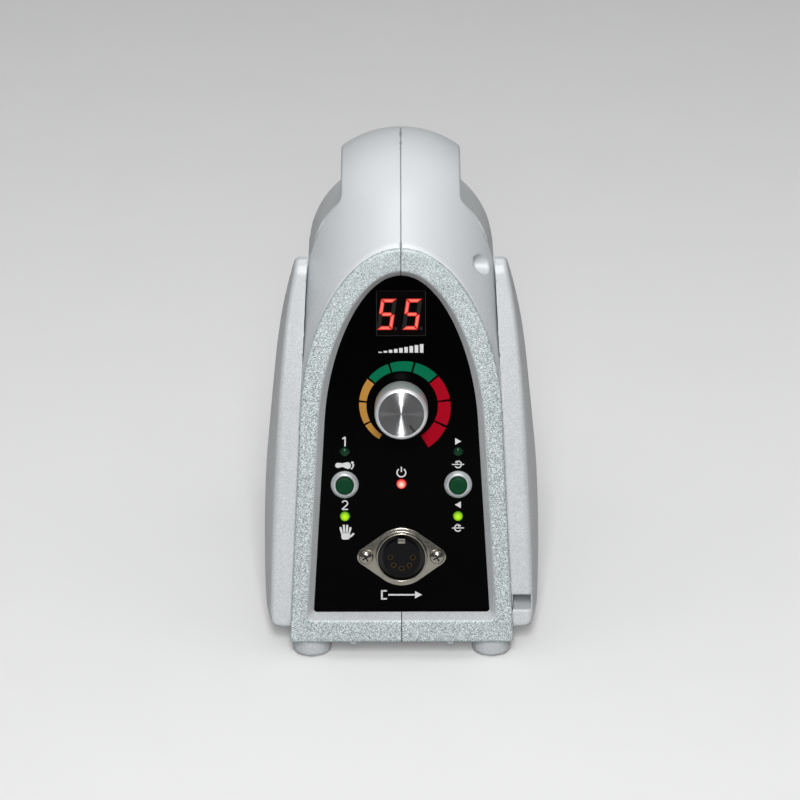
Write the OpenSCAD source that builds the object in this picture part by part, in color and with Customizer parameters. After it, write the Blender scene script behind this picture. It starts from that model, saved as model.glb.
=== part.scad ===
// Desk control unit of a nail drill: two moulded halves with a carrying handle, domed side covers,
// an arched front panel with display, speed knob, buttons and output socket, and the works inside.
// X runs to the viewer's right, Y from front to back, Z up. The feet stand on Z = 0.

/* [Housing] */
// Depth from the front edge to the rear wall
body_d = 128; // [126:1:140]
// Width at the bottom edge
base_w = 70.1; // [69:0.1:74]
// Inward lean of the side walls, in degrees
side_draft = 3; // [2.7:0.1:3.2]
// Height of the feet
foot_h = 6; // [5:0.5:8]
// Diameter of a foot
foot_dia = 12.2; // [10:0.2:13]
// Distance of a foot's centre from the middle
foot_x = 28.3; // [24:0.1:28.5]
// Wall thickness of the moulded halves
wall = 2.4; // [2:0.1:2.8]
// Thickness of the rear wall round its window
rear_t = 5; // [4.8:0.1:6]
// Gap at the seam between the halves
seam_gap = 0.3; // [0.2:0.05:0.4]
// Height of the axis of the rounded top
dome_axis_h = 89.5; // [87:0.5:91]

/* [Bezel and window] */
// Backward lean of the front, in degrees
lean = 11; // [9:0.5:12]
// Height of the arched bezel, along its slope
bezel_h = 126; // [123:0.5:128]
// Height of the bezel's round top, along the slope
arch_h = 50; // [47:0.5:52]
// Height by which the bezel stands out of the hood
bezel_step = 0.6; // [0.3:0.1:1]
// Width of the bezel above the window
band_top = 9.1; // [8:0.1:10]
// Width of the panel window at the root of its arch top
window_w = 42.1; // [40.6:0.1:43.4]
// Outward lean of the window's sides, in degrees
window_draft = 3.5; // [3.2:0.1:3.8]
// Height of the window's round top
window_arch_h = 46; // [43:0.5:48]
// Height of the window above the bezel's bottom edge
window_lift = 9; // [8.6:0.1:9.6]
// Depth of the window below the bezel
recess_d = 3.5; // [3:0.1:4]
// Width of the sloping rim round the window
rim_run = 1.9; // [1.5:0.1:2.2]

/* [Handle] */
// Upward slope of the hood, in degrees
hood_rise = 48; // [45:0.5:51]
// Straight part of the hood above the bezel
hood_run = 17; // [15:0.5:19]
// Radius of the handle's crest
crest_r = 35; // [33:0.5:38]
// Downward slope of the handle's rear half, in degrees
handle_fall = 30; // [27:0.5:31]
// Width of the handle
handle_w = 37.2; // [34:0.2:39]
// Thickness of the handle
handle_t = 15; // [13:0.5:16]
// Distance from the front edge to the back of the hood
hood_back = 41.5; // [41:0.1:43.5]
// Height of the floor of the finger gap
gap_floor = 101.5; // [100.5:0.5:103.5]
// Front to back size of the handle's rear post
post_d = 17; // [15:0.5:19]
// Distance of the rear post from the rear wall
post_set = 6; // [5:0.5:8]
// Corner radius of the finger gap
gap_r = 6; // [4:0.5:7]

/* [Side covers] */
// Setback of the covers behind the bezel
cover_set = 8; // [7:0.5:10]
// Height of a cover along the side wall
cover_h = 124; // [119:0.5:124]
// Height of the cover's rear part
cover_rear_h = 80; // [76:0.5:82]
// Distance from the front edge to the low end of the cover's sloping edge
cover_shoulder = 62; // [58:1:66]
// Distance of the cover from the rear wall
cover_rear_set = 10; // [9:0.5:14]
// Width over the two covers
covers_w = 87.6; // [87:0.2:88.4]
// Radius of the domed outer face
cover_dome_r = 460; // [445:5:490]
// Thickness of the cover's front edge
cover_edge = 6.8; // [6:0.1:7.2]
// Wall thickness of a cover
cover_wall = 2; // [1.6:0.1:2.4]
// Radius of the round dish in the cover
dish_r = 16; // [14:0.5:17]
// Depth of the dish
dish_d = 2.3; // [1.6:0.1:2.6]
// Height of the hook slot in the right cover
slot_h = 4.8; // [4.6:0.1:5.4]
// Width of the hook slot
slot_w = 5.6; // [5:0.1:6]
// Height of the hook slot's middle above the floor
slot_z = 15; // [14:0.5:18]

/* [Front panel] */
// Thickness of the panel
panel_t = 2; // [1.6:0.1:2.4]
// Lip of the panel behind the window's edge
panel_lip = 2; // [1.4:0.1:2.2]
// Distance of the display's centre below the window's top
display_drop = 12; // [11.8:0.1:13.4]
// Height of the knob's axis above the window's bottom edge
knob_v = 66.6; // [65:0.1:68]
// Height of the push buttons
button_v = 41.5; // [40:0.1:43]
// Distance of the buttons from the window's side, at the root of its arch
button_inset = 3.4; // [3:0.05:4.2]
// Height of the LEDs above and below a button
led_rise = 10.4; // [9.4:0.1:11]
// Height of the output socket
socket_v = 18.3; // [17.6:0.1:18.6]
// Distance from the panel to the control board
board_gap = 9; // [8.8:0.1:9.2]

/* [Controls] */
// Diameter of the speed knob
knob_dia = 16.5; // [15.6:0.1:18]
// Height of the knob
knob_h = 10.6; // [10:0.1:12]
// Diameter of the potentiometer's shaft
shaft_dia = 6; // [5.6:0.1:6.2]
// Diameter of a button cap
cap_dia = 5.4; // [5:0.1:5.6]
// Diameter of a button's collar
collar_dia = 8.6; // [8.2:0.1:9.4]
// Height of the collar
collar_h = 1.6; // [1.2:0.1:2]
// Height of the cap over its collar
cap_rise = 1.5; // [1.4:0.1:2]
// Diameter of an LED
led_dia = 2.9; // [2.6:0.1:3]
// Width of the display module
display_w = 15; // [14.4:0.1:15.2]
// Height of the display module
display_h = 14; // [13.4:0.1:14.4]

/* [Output socket] */
// Distance between the socket's screws
socket_pitch = 22.2; // [22:0.1:23]
// Outer diameter of the socket's ring
ring_dia = 16; // [15.4:0.1:16.4]
// Diameter of the socket's insert
insert_dia = 11.6; // [11:0.1:12]
// Diameter of the circle that the contacts lie on
contact_pcd = 7; // [6.6:0.1:7.4]

/* [Rear] */
// Thickness of the rear plate
rear_panel_t = 2; // [1.6:0.1:2.4]
// Width of the rear window
rear_window_w = 40; // [39:0.5:42]
// Height of the rear window's bottom edge
rear_window_z = 21; // [20.5:0.5:22]
// Height of the rear window
rear_window_h = 54.5; // [54:0.5:56]
// Height of the power switch
switch_z = 66; // [65.5:0.1:66.5]
// Height of the mains inlet
inlet_z = 48; // [47.5:0.1:48.5]
// Height of the fuse and the pedal jack
jack_z = 30; // [29.5:0.1:31]
// Distance of the fuse and the jack from the middle
jack_x = 11; // [10:0.1:12]
// Bore of the pedal jack
jack_bore = 6.4; // [6.35:0.05:6.6]
// Tilt of the power rocker, in degrees
rocker_tilt = 10; // [8:0.5:11]

/* [Works] */
// Height of the main board above the floor of the housing
main_lift = 5.6; // [5:0.1:8]
// Length of the main board
main_l = 32; // [32:0.5:33]
// Gap between the main board and the transformer
main_gap = 0.5; // [0.3:0.1:1.5]
// Distance from the rear wall to the transformer's middle
core_set = 46; // [45:0.5:46.5]
// Width of the transformer's core
core_w = 48; // [44:0.5:49]
// Height of the core
core_h = 40; // [36:0.5:42]
// Thickness of the core
core_t = 18; // [16:0.5:19]

/* [Hidden] */
$fn = 48;

front_y = -body_d / 2;
rear_y = body_d / 2;
reach = 200;             // longer than any piece, for cutting tools
lap = 1;                 // overlap of the parts of a swept cutter
eps = 0.02;              // overlap that joins two features of one solid
fit = 0.05;              // clearance round a fixed fastener or insert
run_fit = 0.08;          // radial clearance of a shaft or cap that moves
seat_gap = 0.05;         // gap between faces that rest on each other
arc_steps = 24;          // points on a quarter of an arch
corner_steps = 6;        // points on a rounded corner
silver = [0.78, 0.8, 0.81];
black = [0.05, 0.05, 0.06];
nickel = [0.72, 0.72, 0.74];
steel = [0.6, 0.61, 0.63];
board_green = [0.08, 0.3, 0.16];

// side walls: half the width at height z
side_slope = tan(side_draft);
function side_x(z) = base_w / 2 - side_slope * (z - foot_h);
floor_z = foot_h + wall;

// bezel plane: point [y, z] at v up the slope and n out of the plane
function on_bezel(v, n = 0) =
    [front_y + v * sin(lean) - n * cos(lean), foot_h + v * cos(lean) + n * sin(lean)];
function bezel_at(z) = [front_y + (z - foot_h) * tan(lean), z];
apex = on_bezel(bezel_h);
bezel_taper = side_slope * cos(lean);
bezel_half = base_w / 2 - bezel_taper * bezel_h;
window_h = bezel_h - window_lift - band_top;
window_taper = tan(window_draft);
display_v = window_h - display_drop;
button_x = window_w / 2 - button_inset;
panel_front = -recess_d;
panel_back = panel_front - panel_t;
board_t = 1.6;
board_front = panel_back - board_gap;
board_back = board_front - board_t;

// hood: straight run, crest arc and falling part
cut_angle = 90 - lean - hood_rise;
crown_b = arch_h * sin(cut_angle);
arc_start = apex + hood_run * [cos(hood_rise), sin(hood_rise)];
crest = arc_start + crest_r * [sin(hood_rise), -cos(hood_rise)];
function crest_at(a, r) = crest + r * [cos(a), sin(a)];
rise_a = 90 + hood_rise;
fall_a = 90 - handle_fall;
arc_end = crest_at(fall_a, crest_r);
under_r = crest_r - handle_t;
under_start = crest_at(rise_a, under_r);
under_end = crest_at(fall_a, under_r);
hood_y = front_y + hood_back;
post_back = rear_y - post_set;
post_front = post_back - post_d;
plate_v = 20;            // where the bezel's own plate starts
plate_inset = 0.1;       // how far it stays inside the side walls
plate_t = recess_d - 1;  // its thickness, short of the hollow behind
dome_r = side_x(dome_axis_h) * cos(side_draft);
dome_top = dome_axis_h + dome_r;
top_z = crest.y + crest_r + 2;

// fastener stations, [y, z], and how far the boss reaches out from the seam
low_boss_z = floor_z + 6.6;
boss_r = 4.3;
screw_r = 1.5;
screw_head_r = 2.8;
screw_head_h = 2.4;
screw_seat = 8;
screw_tip = 9;
well_r = 3.1;
shoulder_screw = apex + [9.3, -9.2];
post_screw = [post_front + 5, gap_floor + 17.2];
low_front_screw = [front_y + 13, low_boss_z];
low_rear_screw = [rear_y - 14, low_boss_z];
high_rear_screw = [rear_y - 16, gap_floor - 15];
wall_screws = [low_front_screw, low_rear_screw, high_rear_screw];
all_screws = concat([shoulder_screw, post_screw], wall_screws);
shoulder_reach = 21;

// rounded corner at p between neighbours a and b
function turn(d) = d > 180 ? d - 360 : d < -180 ? d + 360 : d;
function fillet(a, p, b, r) =
    let (u = (a - p) / norm(a - p), w = (b - p) / norm(b - p), half = acos(u * w) / 2)
    let (c = p + (u + w) / norm(u + w) * r / sin(half), t = r / tan(half))
    let (s = p + u * t - c, e = p + w * t - c, a0 = atan2(s.y, s.x), d = turn(atan2(e.y, e.x) - a0))
    [for (i = [0:corner_steps]) c + r * [cos(a0 + d * i / corner_steps), sin(a0 + d * i / corner_steps)]];
function rounded(pts, radii) = let (n = len(pts))
    [for (i = [0:n - 1]) each radii[i] > 0
        ? fillet(pts[(i + n - 1) % n], pts[i], pts[(i + 1) % n], radii[i]) : [pts[i]]];

// arch: sides of half width w0 + k * s, s below the apex, with a round top of height ha
function arch_side(w0, k, ha, h) =
    [for (i = [0:arc_steps]) let (f = 90 * i / arc_steps, s = ha * (1 - cos(f)))
        [(w0 + k * s) * sin(f), h - s]];
function arch(w0, k, ha, h, foot_r = 0) =
    let (right = arch_side(w0, k, ha, h), n = len(right) - 1, foot = [w0 + k * h, 0], left = [-foot.x, 0])
    let (toe = foot_r > 0 ? fillet(right[n], foot, left, foot_r) : [foot], m = len(toe) - 1)
    concat(right, toe, [for (i = [0:m]) [-toe[m - i].x, toe[m - i].y]],
        [for (i = [n:-1:1]) [-right[i].x, right[i].y]]);
function window(grow, foot_r) =
    [for (p = arch(window_w / 2 + grow, window_taper, window_arch_h + grow, window_h + 2 * grow, foot_r))
        p + [0, window_lift - grow]];

// placing
module at_bezel(x = 0, v = 0, n = 0) translate([0, front_y, foot_h]) rotate([90 - lean, 0, 0])
    translate([x, v, n]) children();
module at_panel(x, v, n = 0) at_bezel(x, window_lift + v, panel_front + n) children();
module at_rear(x = 0, z = 0) translate([x, rear_y - rear_t, z]) rotate([90, 0, 180]) children();
module across(w) rotate([90, 0, 90]) translate([0, 0, -w / 2]) linear_extrude(w) children();
module along(y0, y1) translate([0, y1, 0]) rotate([90, 0, 0]) linear_extrude(y1 - y0) children();
module at_side(side) scale_x(side) translate([base_w / 2, 0, foot_h]) rotate([0, -side_draft, 0]) children();
module scale_x(side) if (side < 0) mirror([1, 0, 0]) children(); else children();
module pair(x) for (s = [-1, 1]) translate([s * x, 0, 0]) children();
module cross_recess(size, depth) for (a = [0, 90]) rotate(a)
    translate([-size / 2, -size / 8, -depth]) cube([size, size / 4, depth + eps]);
module pan_screw(head_r, head_h, shank_r, length) {
    difference() {
        cylinder(r = head_r, h = head_h);
        translate([0, 0, head_h]) cross_recess(head_r * 1.2, head_h * 0.45);
    }
    translate([0, 0, -length]) cylinder(r = shank_r, h = length + eps);
}
module slab(w, h, r) {
    square([w, h - 2 * r], center = true);
    square([w - 2 * r, h], center = true);
    for (x = [-1, 1], y = [-1, 1]) translate([x * (w / 2 - r), y * (h / 2 - r)]) circle(r);
}

// outer form of the two halves together
module crown(inset) polygon(concat(
    [for (i = [-arc_steps:arc_steps]) let (f = 90 * i / arc_steps, s = arch_h * (1 - cos(f)))
        [(bezel_half + bezel_taper * s - inset) * sin(f), -s * sin(cut_angle) - inset * cos(f)]],
    [[bezel_half, -reach], [-bezel_half, -reach]]));
module crown_waste(inset) difference() {
    translate([-reach / 2, -crown_b]) square([reach, crown_b + reach / 2]);
    crown(inset);
}
module above_crown(inset) {
    translate([0, arc_start.x, arc_start.y]) rotate([rise_a, 0, 0]) translate([0, 0, -lap])
        linear_extrude(hood_run + reach / 2) crown_waste(inset);
    translate([0, crest.x, crest.y]) rotate([90, 0, 90]) rotate([0, 0, fall_a])
        rotate_extrude(angle = rise_a - fall_a) translate([crest_r, 0]) rotate(-90) crown_waste(inset);
    translate([0, arc_end.x, arc_end.y]) rotate([fall_a, 0, 0]) translate([0, 0, -reach / 2])
        linear_extrude(reach / 2 + lap) crown_waste(inset);
}
module side_outline(inset, top) polygon([[side_x(foot_h) - inset, foot_h], [side_x(top) - inset, top],
    [inset - side_x(top), top], [inset - side_x(foot_h), foot_h]]);
module tunnel_outline(inset) {
    side_outline(inset, dome_axis_h + (dome_r - inset) * sin(side_draft));
    translate([0, dome_axis_h]) circle(dome_r - inset, $fn = 96);
}
module finger_gap() across(reach) polygon(rounded(concat(
    [[hood_y, gap_floor], [post_front, gap_floor],
        [post_front, under_end.y - (post_front - under_end.x) * tan(handle_fall)]],
    [for (i = [0:arc_steps]) crest_at(fall_a + (rise_a - fall_a) * i / arc_steps, under_r)],
    [[hood_y, under_start.y - (under_start.x - hood_y) * tan(hood_rise)]]),
    concat([gap_r, gap_r, gap_r], [for (i = [0:arc_steps]) 0], [0])));
module outer_form() {
    difference() {
        union() {
            intersection() {
                across(reach)
                    polygon([bezel_at(foot_h), bezel_at(dome_top), [rear_y, dome_top], [rear_y, foot_h]]);
                along(front_y, rear_y) tunnel_outline(0);
            }
            intersection() {
                across(reach)
                    polygon([bezel_at(foot_h), bezel_at(top_z), [hood_y, top_z], [hood_y, foot_h]]);
                along(front_y, hood_y) side_outline(0, top_z);
            }
            across(handle_w)
                polygon([bezel_at(gap_floor), bezel_at(top_z), [post_back, top_z], [post_back, gap_floor]]);
        }
        above_crown(bezel_step);
        finger_gap();
    }
    at_bezel(0, plate_v, -plate_t) linear_extrude(plate_t)
        polygon(arch(bezel_half - plate_inset, bezel_taper, arch_h, bezel_h - plate_v));
}
module cavity() {
    inner_front = on_bezel(0, panel_front);
    function inner_at(z) = [inner_front.x + (z - inner_front.y) * tan(lean), z];
    difference() {
        intersection() {
            across(reach) polygon([inner_at(floor_z), inner_at(apex.y), [hood_y - wall, apex.y],
                [hood_y - wall, gap_floor - wall], [rear_y - rear_t, gap_floor - wall],
                [rear_y - rear_t, floor_z]]);
            union() {
                along(front_y, rear_y) tunnel_outline(wall);
                along(front_y, hood_y) side_outline(wall, top_z);
            }
        }
        above_crown(wall + bezel_step);
    }
}
module window_cut() at_bezel() hull() {
    translate([0, 0, lap]) linear_extrude(eps) polygon(window(rim_run * (1 + lap / recess_d), 3));
    translate([0, 0, panel_front - lap]) linear_extrude(eps) polygon(window(-rim_run * lap / recess_d, 2));
}
module rear_window_cut() at_rear(0, rear_window_z + rear_window_h / 2) translate([0, 0, -eps])
    linear_extrude(reach) slab(rear_window_w, rear_window_h, 4);
module x_rod(at, r, x0, x1) translate([x0, at.x, at.y]) rotate([0, 90, 0]) cylinder(r = r, h = x1 - x0);
foot_set = 7.5;
foot_ys = [front_y + foot_set, rear_y - foot_set];
pad_proud = 0.5;
pad_t = 1.6;
pad_r = 4.5;
nub = [1.7, 2, 1.3];
nub_set = 1.2;
nub_xs = [15.2, 30.3];
post_r = 3;
wind_d = 6;
flange_d = wind_d + 0.5;
core_y = body_d - core_set;
main_set = core_y - core_t / 2 - flange_d - main_gap - main_l;
main_z = floor_z + main_lift;
main_w = 50;
main_posts = [for (x = [-21, 21], y = [main_set + 3, main_set + main_l - 3]) [x, front_y + y]];
core_z = floor_z + 3.6;
strap_t = 1.2;
strap_reach = 6.6;
strap_x = core_w / 2 + strap_t + strap_reach / 2;
rear_plate_y = rear_y - rear_t - rear_panel_t;
rear_plate_margin = 3;
cover_screw_r = 1.3;
rib = 3;
panel_rib_vs = [20, 62];
rear_rib_zs = [rear_window_z + 4, rear_window_z + rear_window_h - 6];
cover_spots = [[34, 22], [102, 22], [31, 92]];

module housing(side) {
    difference() {
        union() {
            difference() {
                intersection() {
                    outer_form();
                    scale_x(side) translate([seam_gap / 2, -reach / 2, 0]) cube([reach, reach, reach]);
                }
                cavity();
                window_cut();
                rear_window_cut();
            }
            scale_x(side) {
                x_rod(shoulder_screw, boss_r, seam_gap / 2, shoulder_reach);
                for (s = wall_screws) x_rod(s, boss_r, seam_gap / 2, side_x(s.y + boss_r) - wall / 2);
                for (p = main_posts) if (p.x > 0)
                    translate([p.x, p.y, floor_z - eps]) cylinder(r = post_r, h = main_lift + eps);
                translate([strap_x, front_y + core_y, floor_z - eps])
                    cylinder(r = post_r, h = core_z - floor_z + eps);
                for (y = foot_ys) translate([foot_x, y, pad_proud])
                    cylinder(d = foot_dia, h = foot_h - pad_proud + eps);
                for (x = nub_xs) translate([x - nub.x / 2, front_y + nub_set, foot_h - nub.z])
                    cube(nub + [0, 0, eps]);
                for (v = panel_rib_vs) panel_rib(window_lift + v);
                for (z = rear_rib_zs) rear_rib(z);
            }
        }
        for (s = all_screws) screw_hole(side, s);
        for (p = concat(main_posts, [[strap_x, front_y + core_y], [-strap_x, front_y + core_y]]))
            translate([p.x, p.y, floor_z]) cylinder(r = cover_screw_r + fit, h = reach / 4);
        for (y = foot_ys) translate([side * foot_x, y, 0]) cylinder(r = pad_r + fit, h = pad_t);
        for (c = cover_spots) at_side(side) translate([-wall - 1, front_y + c.x, c.y]) rotate([0, 90, 0])
            cylinder(r = cover_screw_r + fit, h = wall + 2);
    }
}
module panel_rib(v) {
    inner = side_x(on_bezel(v).y) - wall;
    edge = window_w / 2 + window_taper * (window_lift + window_h - v);
    at_bezel(edge, v, panel_back - rib) cube([inner + wall / 2 - edge, rib, rib - seat_gap]);
}
module rear_rib(z) translate([rear_window_w / 2 - lap, rear_plate_y - rib, z])
    cube([side_x(z + rib) - wall / 2 - rear_window_w / 2 + lap, rib - seat_gap, rib]);
module screw_hole(side, at) {
    if (side > 0) {
        x_rod(at, screw_r + fit, 0, screw_seat + eps);
        x_rod(at, well_r, screw_seat, reach / 2);
    } else x_rod(at, screw_r + fit, -screw_tip - 1, 0);
}
module left_housing() color(silver) housing(-1);
module right_housing() color(silver) housing(1);

// side covers: outline in the plane of the side wall, inset by m for the hollow inside
function cover_outline(m) =
    let (rise = cover_h - cover_rear_h, run = cover_shoulder - cover_top_y, n = m * norm([rise, run]) / run)
    let (a = [cover_front(m, m), m], b = [cover_front(m, cover_h - n), cover_h - n])
    let (d = [cover_shoulder - m / 2, cover_rear_h - m], e = [body_d - cover_rear_set - m, cover_rear_h - m])
    rounded([for (p = [a, b, d, e, [e.x, m]]) p + [front_y, 0]], [2, 6, 14, 14, 8]);
function cover_front(m, z) = cover_set + m / cos(lean) + z * tan(lean);
cover_top_y = cover_front(0, cover_h);
dish_at = [46, 68.5];
dish_ball = (pow(dish_r, 2) + pow(dish_d, 2)) / (2 * dish_d);
dome_at = [45, 22];
dish_off = dish_at + [0, foot_h] - dome_at;
cover_drop = cover_dome_r - sqrt(pow(cover_dome_r, 2) - dish_off * dish_off);
chamfer_a = 18;
module cover_solid(m) difference() {
    intersection() {
        at_side(1) translate([m > 0 ? -lap : seat_gap, 0, 0]) rotate([90, 0, 90])
            linear_extrude(reach / 8) polygon(cover_outline(m));
        translate([covers_w / 2 - cover_dome_r, front_y + dome_at.x, dome_at.y])
            sphere(cover_dome_r - m, $fn = 144);
    }
    at_side(1) translate([cover_edge - m, front_y + cover_set, 0]) rotate([-lean, 0, 0])
        rotate([0, 0, -chamfer_a]) translate([0, -reach / 2, -reach / 2]) cube([reach, reach, 2 * reach]);
    translate([covers_w / 2 + dish_ball - dish_d - cover_drop, front_y + dish_at.x, foot_h + dish_at.y])
        sphere(dish_ball + m, $fn = 96);
}
module side_cover(side) scale_x(side) difference() {
    union() {
        difference() {
            cover_solid(0);
            cover_solid(cover_wall);
        }
        intersection() {
            cover_solid(0);
            for (c = cover_spots) at_side(1) translate([seat_gap, front_y + c.x, c.y]) rotate([0, 90, 0])
                cylinder(r = post_r, h = reach / 8);
        }
    }
    for (c = cover_spots) at_side(1) translate([0, front_y + c.x, c.y]) rotate([0, 90, 0])
        cylinder(r = cover_screw_r + fit, h = cover_edge - cover_wall - 1);
    if (side > 0) hook_slot();
}
slot_d = 12;
slot_r = 1.2;
slot_skin = 0.6;
module hook_slot() translate([side_x(slot_z) + slot_skin, front_y + cover_set + slot_d, slot_z])
    rotate([90, 0, 0]) linear_extrude(2 * slot_d) translate([slot_w / 2, 0]) slab(slot_w, slot_h, slot_r);
module left_side_cover() color(silver) side_cover(-1);
module right_side_cover() color(silver) side_cover(1);
module cover_screws() color(steel) for (side = [-1, 1], c = cover_spots) at_side(side)
    translate([-wall - seat_gap, front_y + c.x, c.y]) rotate([0, -90, 0])
        pan_screw(small_head_r, small_head_h, cover_screw_r, wall + cover_edge - cover_wall - 2);
module housing_screws() color(steel) for (s = all_screws)
    translate([screw_seat + fit, s.x, s.y]) rotate([0, 90, 0])
        pan_screw(screw_head_r, screw_head_h, screw_r, screw_seat + screw_tip);
module foot_pads() color([0.12, 0.12, 0.12]) for (y = foot_ys) pair(foot_x) translate([0, y, 0])
    cylinder(r = pad_r, h = pad_t - seat_gap);

// front panel and what it carries
pot_bush_r = shaft_dia / 2 + run_fit + 0.6;
hole_fit = 0.15;
neck_r = cap_dia / 2 + run_fit + 0.6;
shell_r = ring_dia / 2 - 0.3;
leds = [[-1, 1], [-1, -1], [1, 1], [1, -1]];
display_set = 0.25;
display_l = 7.2;
pin_pitch = 2.54;
pin_r = 0.3;
board_foot = 28;
board_head = window_h - 4.7;
board_half = 22;
board_head_half = 14;
board_shoulder = board_head - 30;
spacer_low = [8, board_foot + 4];
spacer_high = [10.5, board_head - 3.8];
spacer_spots = [for (p = [spacer_low, spacer_high], s = [-1, 1]) [s * p.x, p.y]];
spacer_r = 2.5;
board_screw_r = 1.25;
board_head_r = 2.2;
board_head_h = 1.4;
board_screw_l = board_t + 5;
to_board = board_front - panel_front;
module through(r) translate([0, 0, -reach / 2]) cylinder(r = r, h = reach);
module front_panel() color(black) difference() {
    at_bezel(0, 0, panel_back) linear_extrude(panel_t - seat_gap) polygon(window(panel_lip, 2));
    at_panel(0, display_v, -reach / 2) linear_extrude(reach)
        square([display_w + 2 * hole_fit, display_h + 2 * hole_fit], center = true);
    at_panel(0, knob_v) through(pot_bush_r + hole_fit);
    pair(button_x) at_panel(0, button_v) through(neck_r + hole_fit);
    for (l = leds) at_panel(l.x * button_x, button_v + l.y * led_rise) through(led_dia / 2 + hole_fit);
    at_panel(0, button_v) through(led_dia / 2 + hole_fit);
    at_panel(0, socket_v) through(shell_r + hole_fit);
    pair(socket_pitch / 2) at_panel(0, socket_v) through(screw_r + fit);
}
module display_module() color([0.09, 0.08, 0.08]) at_panel(0, display_v, -display_set) {
    translate([-display_w / 2, -display_h / 2, -display_l]) cube([display_w, display_h, display_l]);
    for (x = [-2:2], y = [-1, 1])
        translate([x * pin_pitch, y * 2 * pin_pitch, to_board + display_set + seat_gap])
            cylinder(r = pin_r, h = -display_l - to_board - display_set);
}
module control_board() color(board_green) difference() {
    at_bezel(0, window_lift, board_back) linear_extrude(board_t)
        polygon([[-board_half, board_foot], [board_half, board_foot], [board_half, board_shoulder],
            [board_head_half, board_head], [-board_head_half, board_head], [-board_half, board_shoulder]]);
    for (s = spacer_spots) at_panel(s.x, s.y) through(board_screw_r + fit);
}
module at_spacers(n) for (s = spacer_spots) at_panel(s.x, s.y, n) children();
module board_spacers() color(nickel) at_spacers(to_board + seat_gap) difference() {
    cylinder(r = spacer_r, h = board_gap - 2 * seat_gap);
    translate([0, 0, -1]) cylinder(r = board_screw_r + fit, h = board_gap - 1);
}
module board_screws() color(steel) at_spacers(board_back - panel_front - seat_gap) rotate([180, 0, 0])
    pan_screw(board_head_r, board_head_h, board_screw_r, board_screw_l);

// speed control
nut_h = 2;
nut_dia = 11.4;
pot_dia = 16;
shaft_seat = 3;
bush_rise = 0.3;
knob_gap = 0.6;
knob_wall = 1.5;
knob_chamfer = 0.8;
skirt_h = 1.2;
skirt_step = [0.2, 0.3];
core_r = knob_dia / 2 - knob_wall;
core_base = nut_h + knob_gap;
core_top = knob_gap + knob_h - knob_wall;
pointer_a = -54;
pointer = [3, 0.9, 0.5];
module potentiometer_body() color([0.35, 0.37, 0.4]) at_panel(0, knob_v, -panel_t) difference() {
    union() {
        translate([0, 0, seat_gap - board_gap]) cylinder(d = pot_dia, h = board_gap - 2 * seat_gap);
        translate([0, 0, -1]) cylinder(r = pot_bush_r, h = 1 + panel_t + nut_h + bush_rise);
    }
    translate([0, 0, shaft_seat - board_gap]) cylinder(d = shaft_dia + 2 * run_fit, h = reach);
}
module potentiometer_nut() color(nickel) at_panel(0, knob_v, seat_gap) difference() {
    cylinder(d = nut_dia, h = nut_h - seat_gap, $fn = 6);
    through(pot_bush_r + fit);
}
module potentiometer_shaft() color(nickel) at_panel(0, knob_v, shaft_seat - board_gap - panel_t + run_fit)
    cylinder(d = shaft_dia, h = board_gap + panel_t - shaft_seat + core_top - 1);
module knob_core() color(black) at_panel(0, knob_v, core_base) difference() {
    cylinder(r = core_r - fit, h = core_top - core_base - fit);
    translate([0, 0, -1]) cylinder(d = shaft_dia + 2 * fit, h = core_top - core_base + run_fit);
}
module speed_knob() color([0.82, 0.83, 0.84]) at_panel(0, knob_v, knob_gap) difference() {
    skirt_r = knob_dia / 2 - skirt_step.x;
    rotate_extrude() polygon([[core_r, 0], [skirt_r, 0], [skirt_r, skirt_h],
        [knob_dia / 2, skirt_h + skirt_step.y], [knob_dia / 2, knob_h - knob_chamfer],
        [knob_dia / 2 - knob_chamfer, knob_h], [0, knob_h], [0, knob_h - knob_wall],
        [core_r, knob_h - knob_wall]]);
    rotate(pointer_a) translate([knob_dia / 2 - 1 - pointer.x, -pointer.y / 2, knob_h - pointer.z])
        cube(pointer + [0, 0, 1]);
}

// push buttons
stem_l = 6;
stroke = 1.2;
stroke_room = 0.6;
collar_bevel = 0.9;
cap_bevel = 0.4;
switch_w = 9;
module collar(x) color(nickel) at_panel(x, button_v) difference() {
    rotate_extrude() polygon([[0, -panel_t], [neck_r, -panel_t], [neck_r, seat_gap],
        [collar_dia / 2, seat_gap], [collar_dia / 2, 0.5 * collar_h],
        [collar_dia / 2 - collar_bevel, collar_h], [0, collar_h]]);
    through(cap_dia / 2 + run_fit);
}
module push_switch(x) color([0.15, 0.15, 0.16]) at_panel(x, button_v, -panel_t) difference() {
    translate([-switch_w / 2, -switch_w / 2, seat_gap - board_gap])
        cube([switch_w, switch_w, board_gap - 2 * seat_gap]);
    translate([0, 0, panel_t - stem_l - stroke - stroke_room])
        cylinder(d = cap_dia + 2 * run_fit, h = reach);
}
module push_cap(x) color([0.1, 0.42, 0.28]) at_panel(x, button_v) rotate_extrude()
    polygon([[0, -stem_l], [cap_dia / 2, -stem_l], [cap_dia / 2, collar_h + cap_rise - cap_bevel],
        [cap_dia / 2 - cap_bevel, collar_h + cap_rise], [0, collar_h + cap_rise]]);
module mode_collar() collar(-button_x);
module mode_switch() push_switch(-button_x);
module mode_button() push_cap(-button_x);
module direction_collar() collar(button_x);
module direction_switch() push_switch(button_x);
module direction_button() push_cap(button_x);

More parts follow.
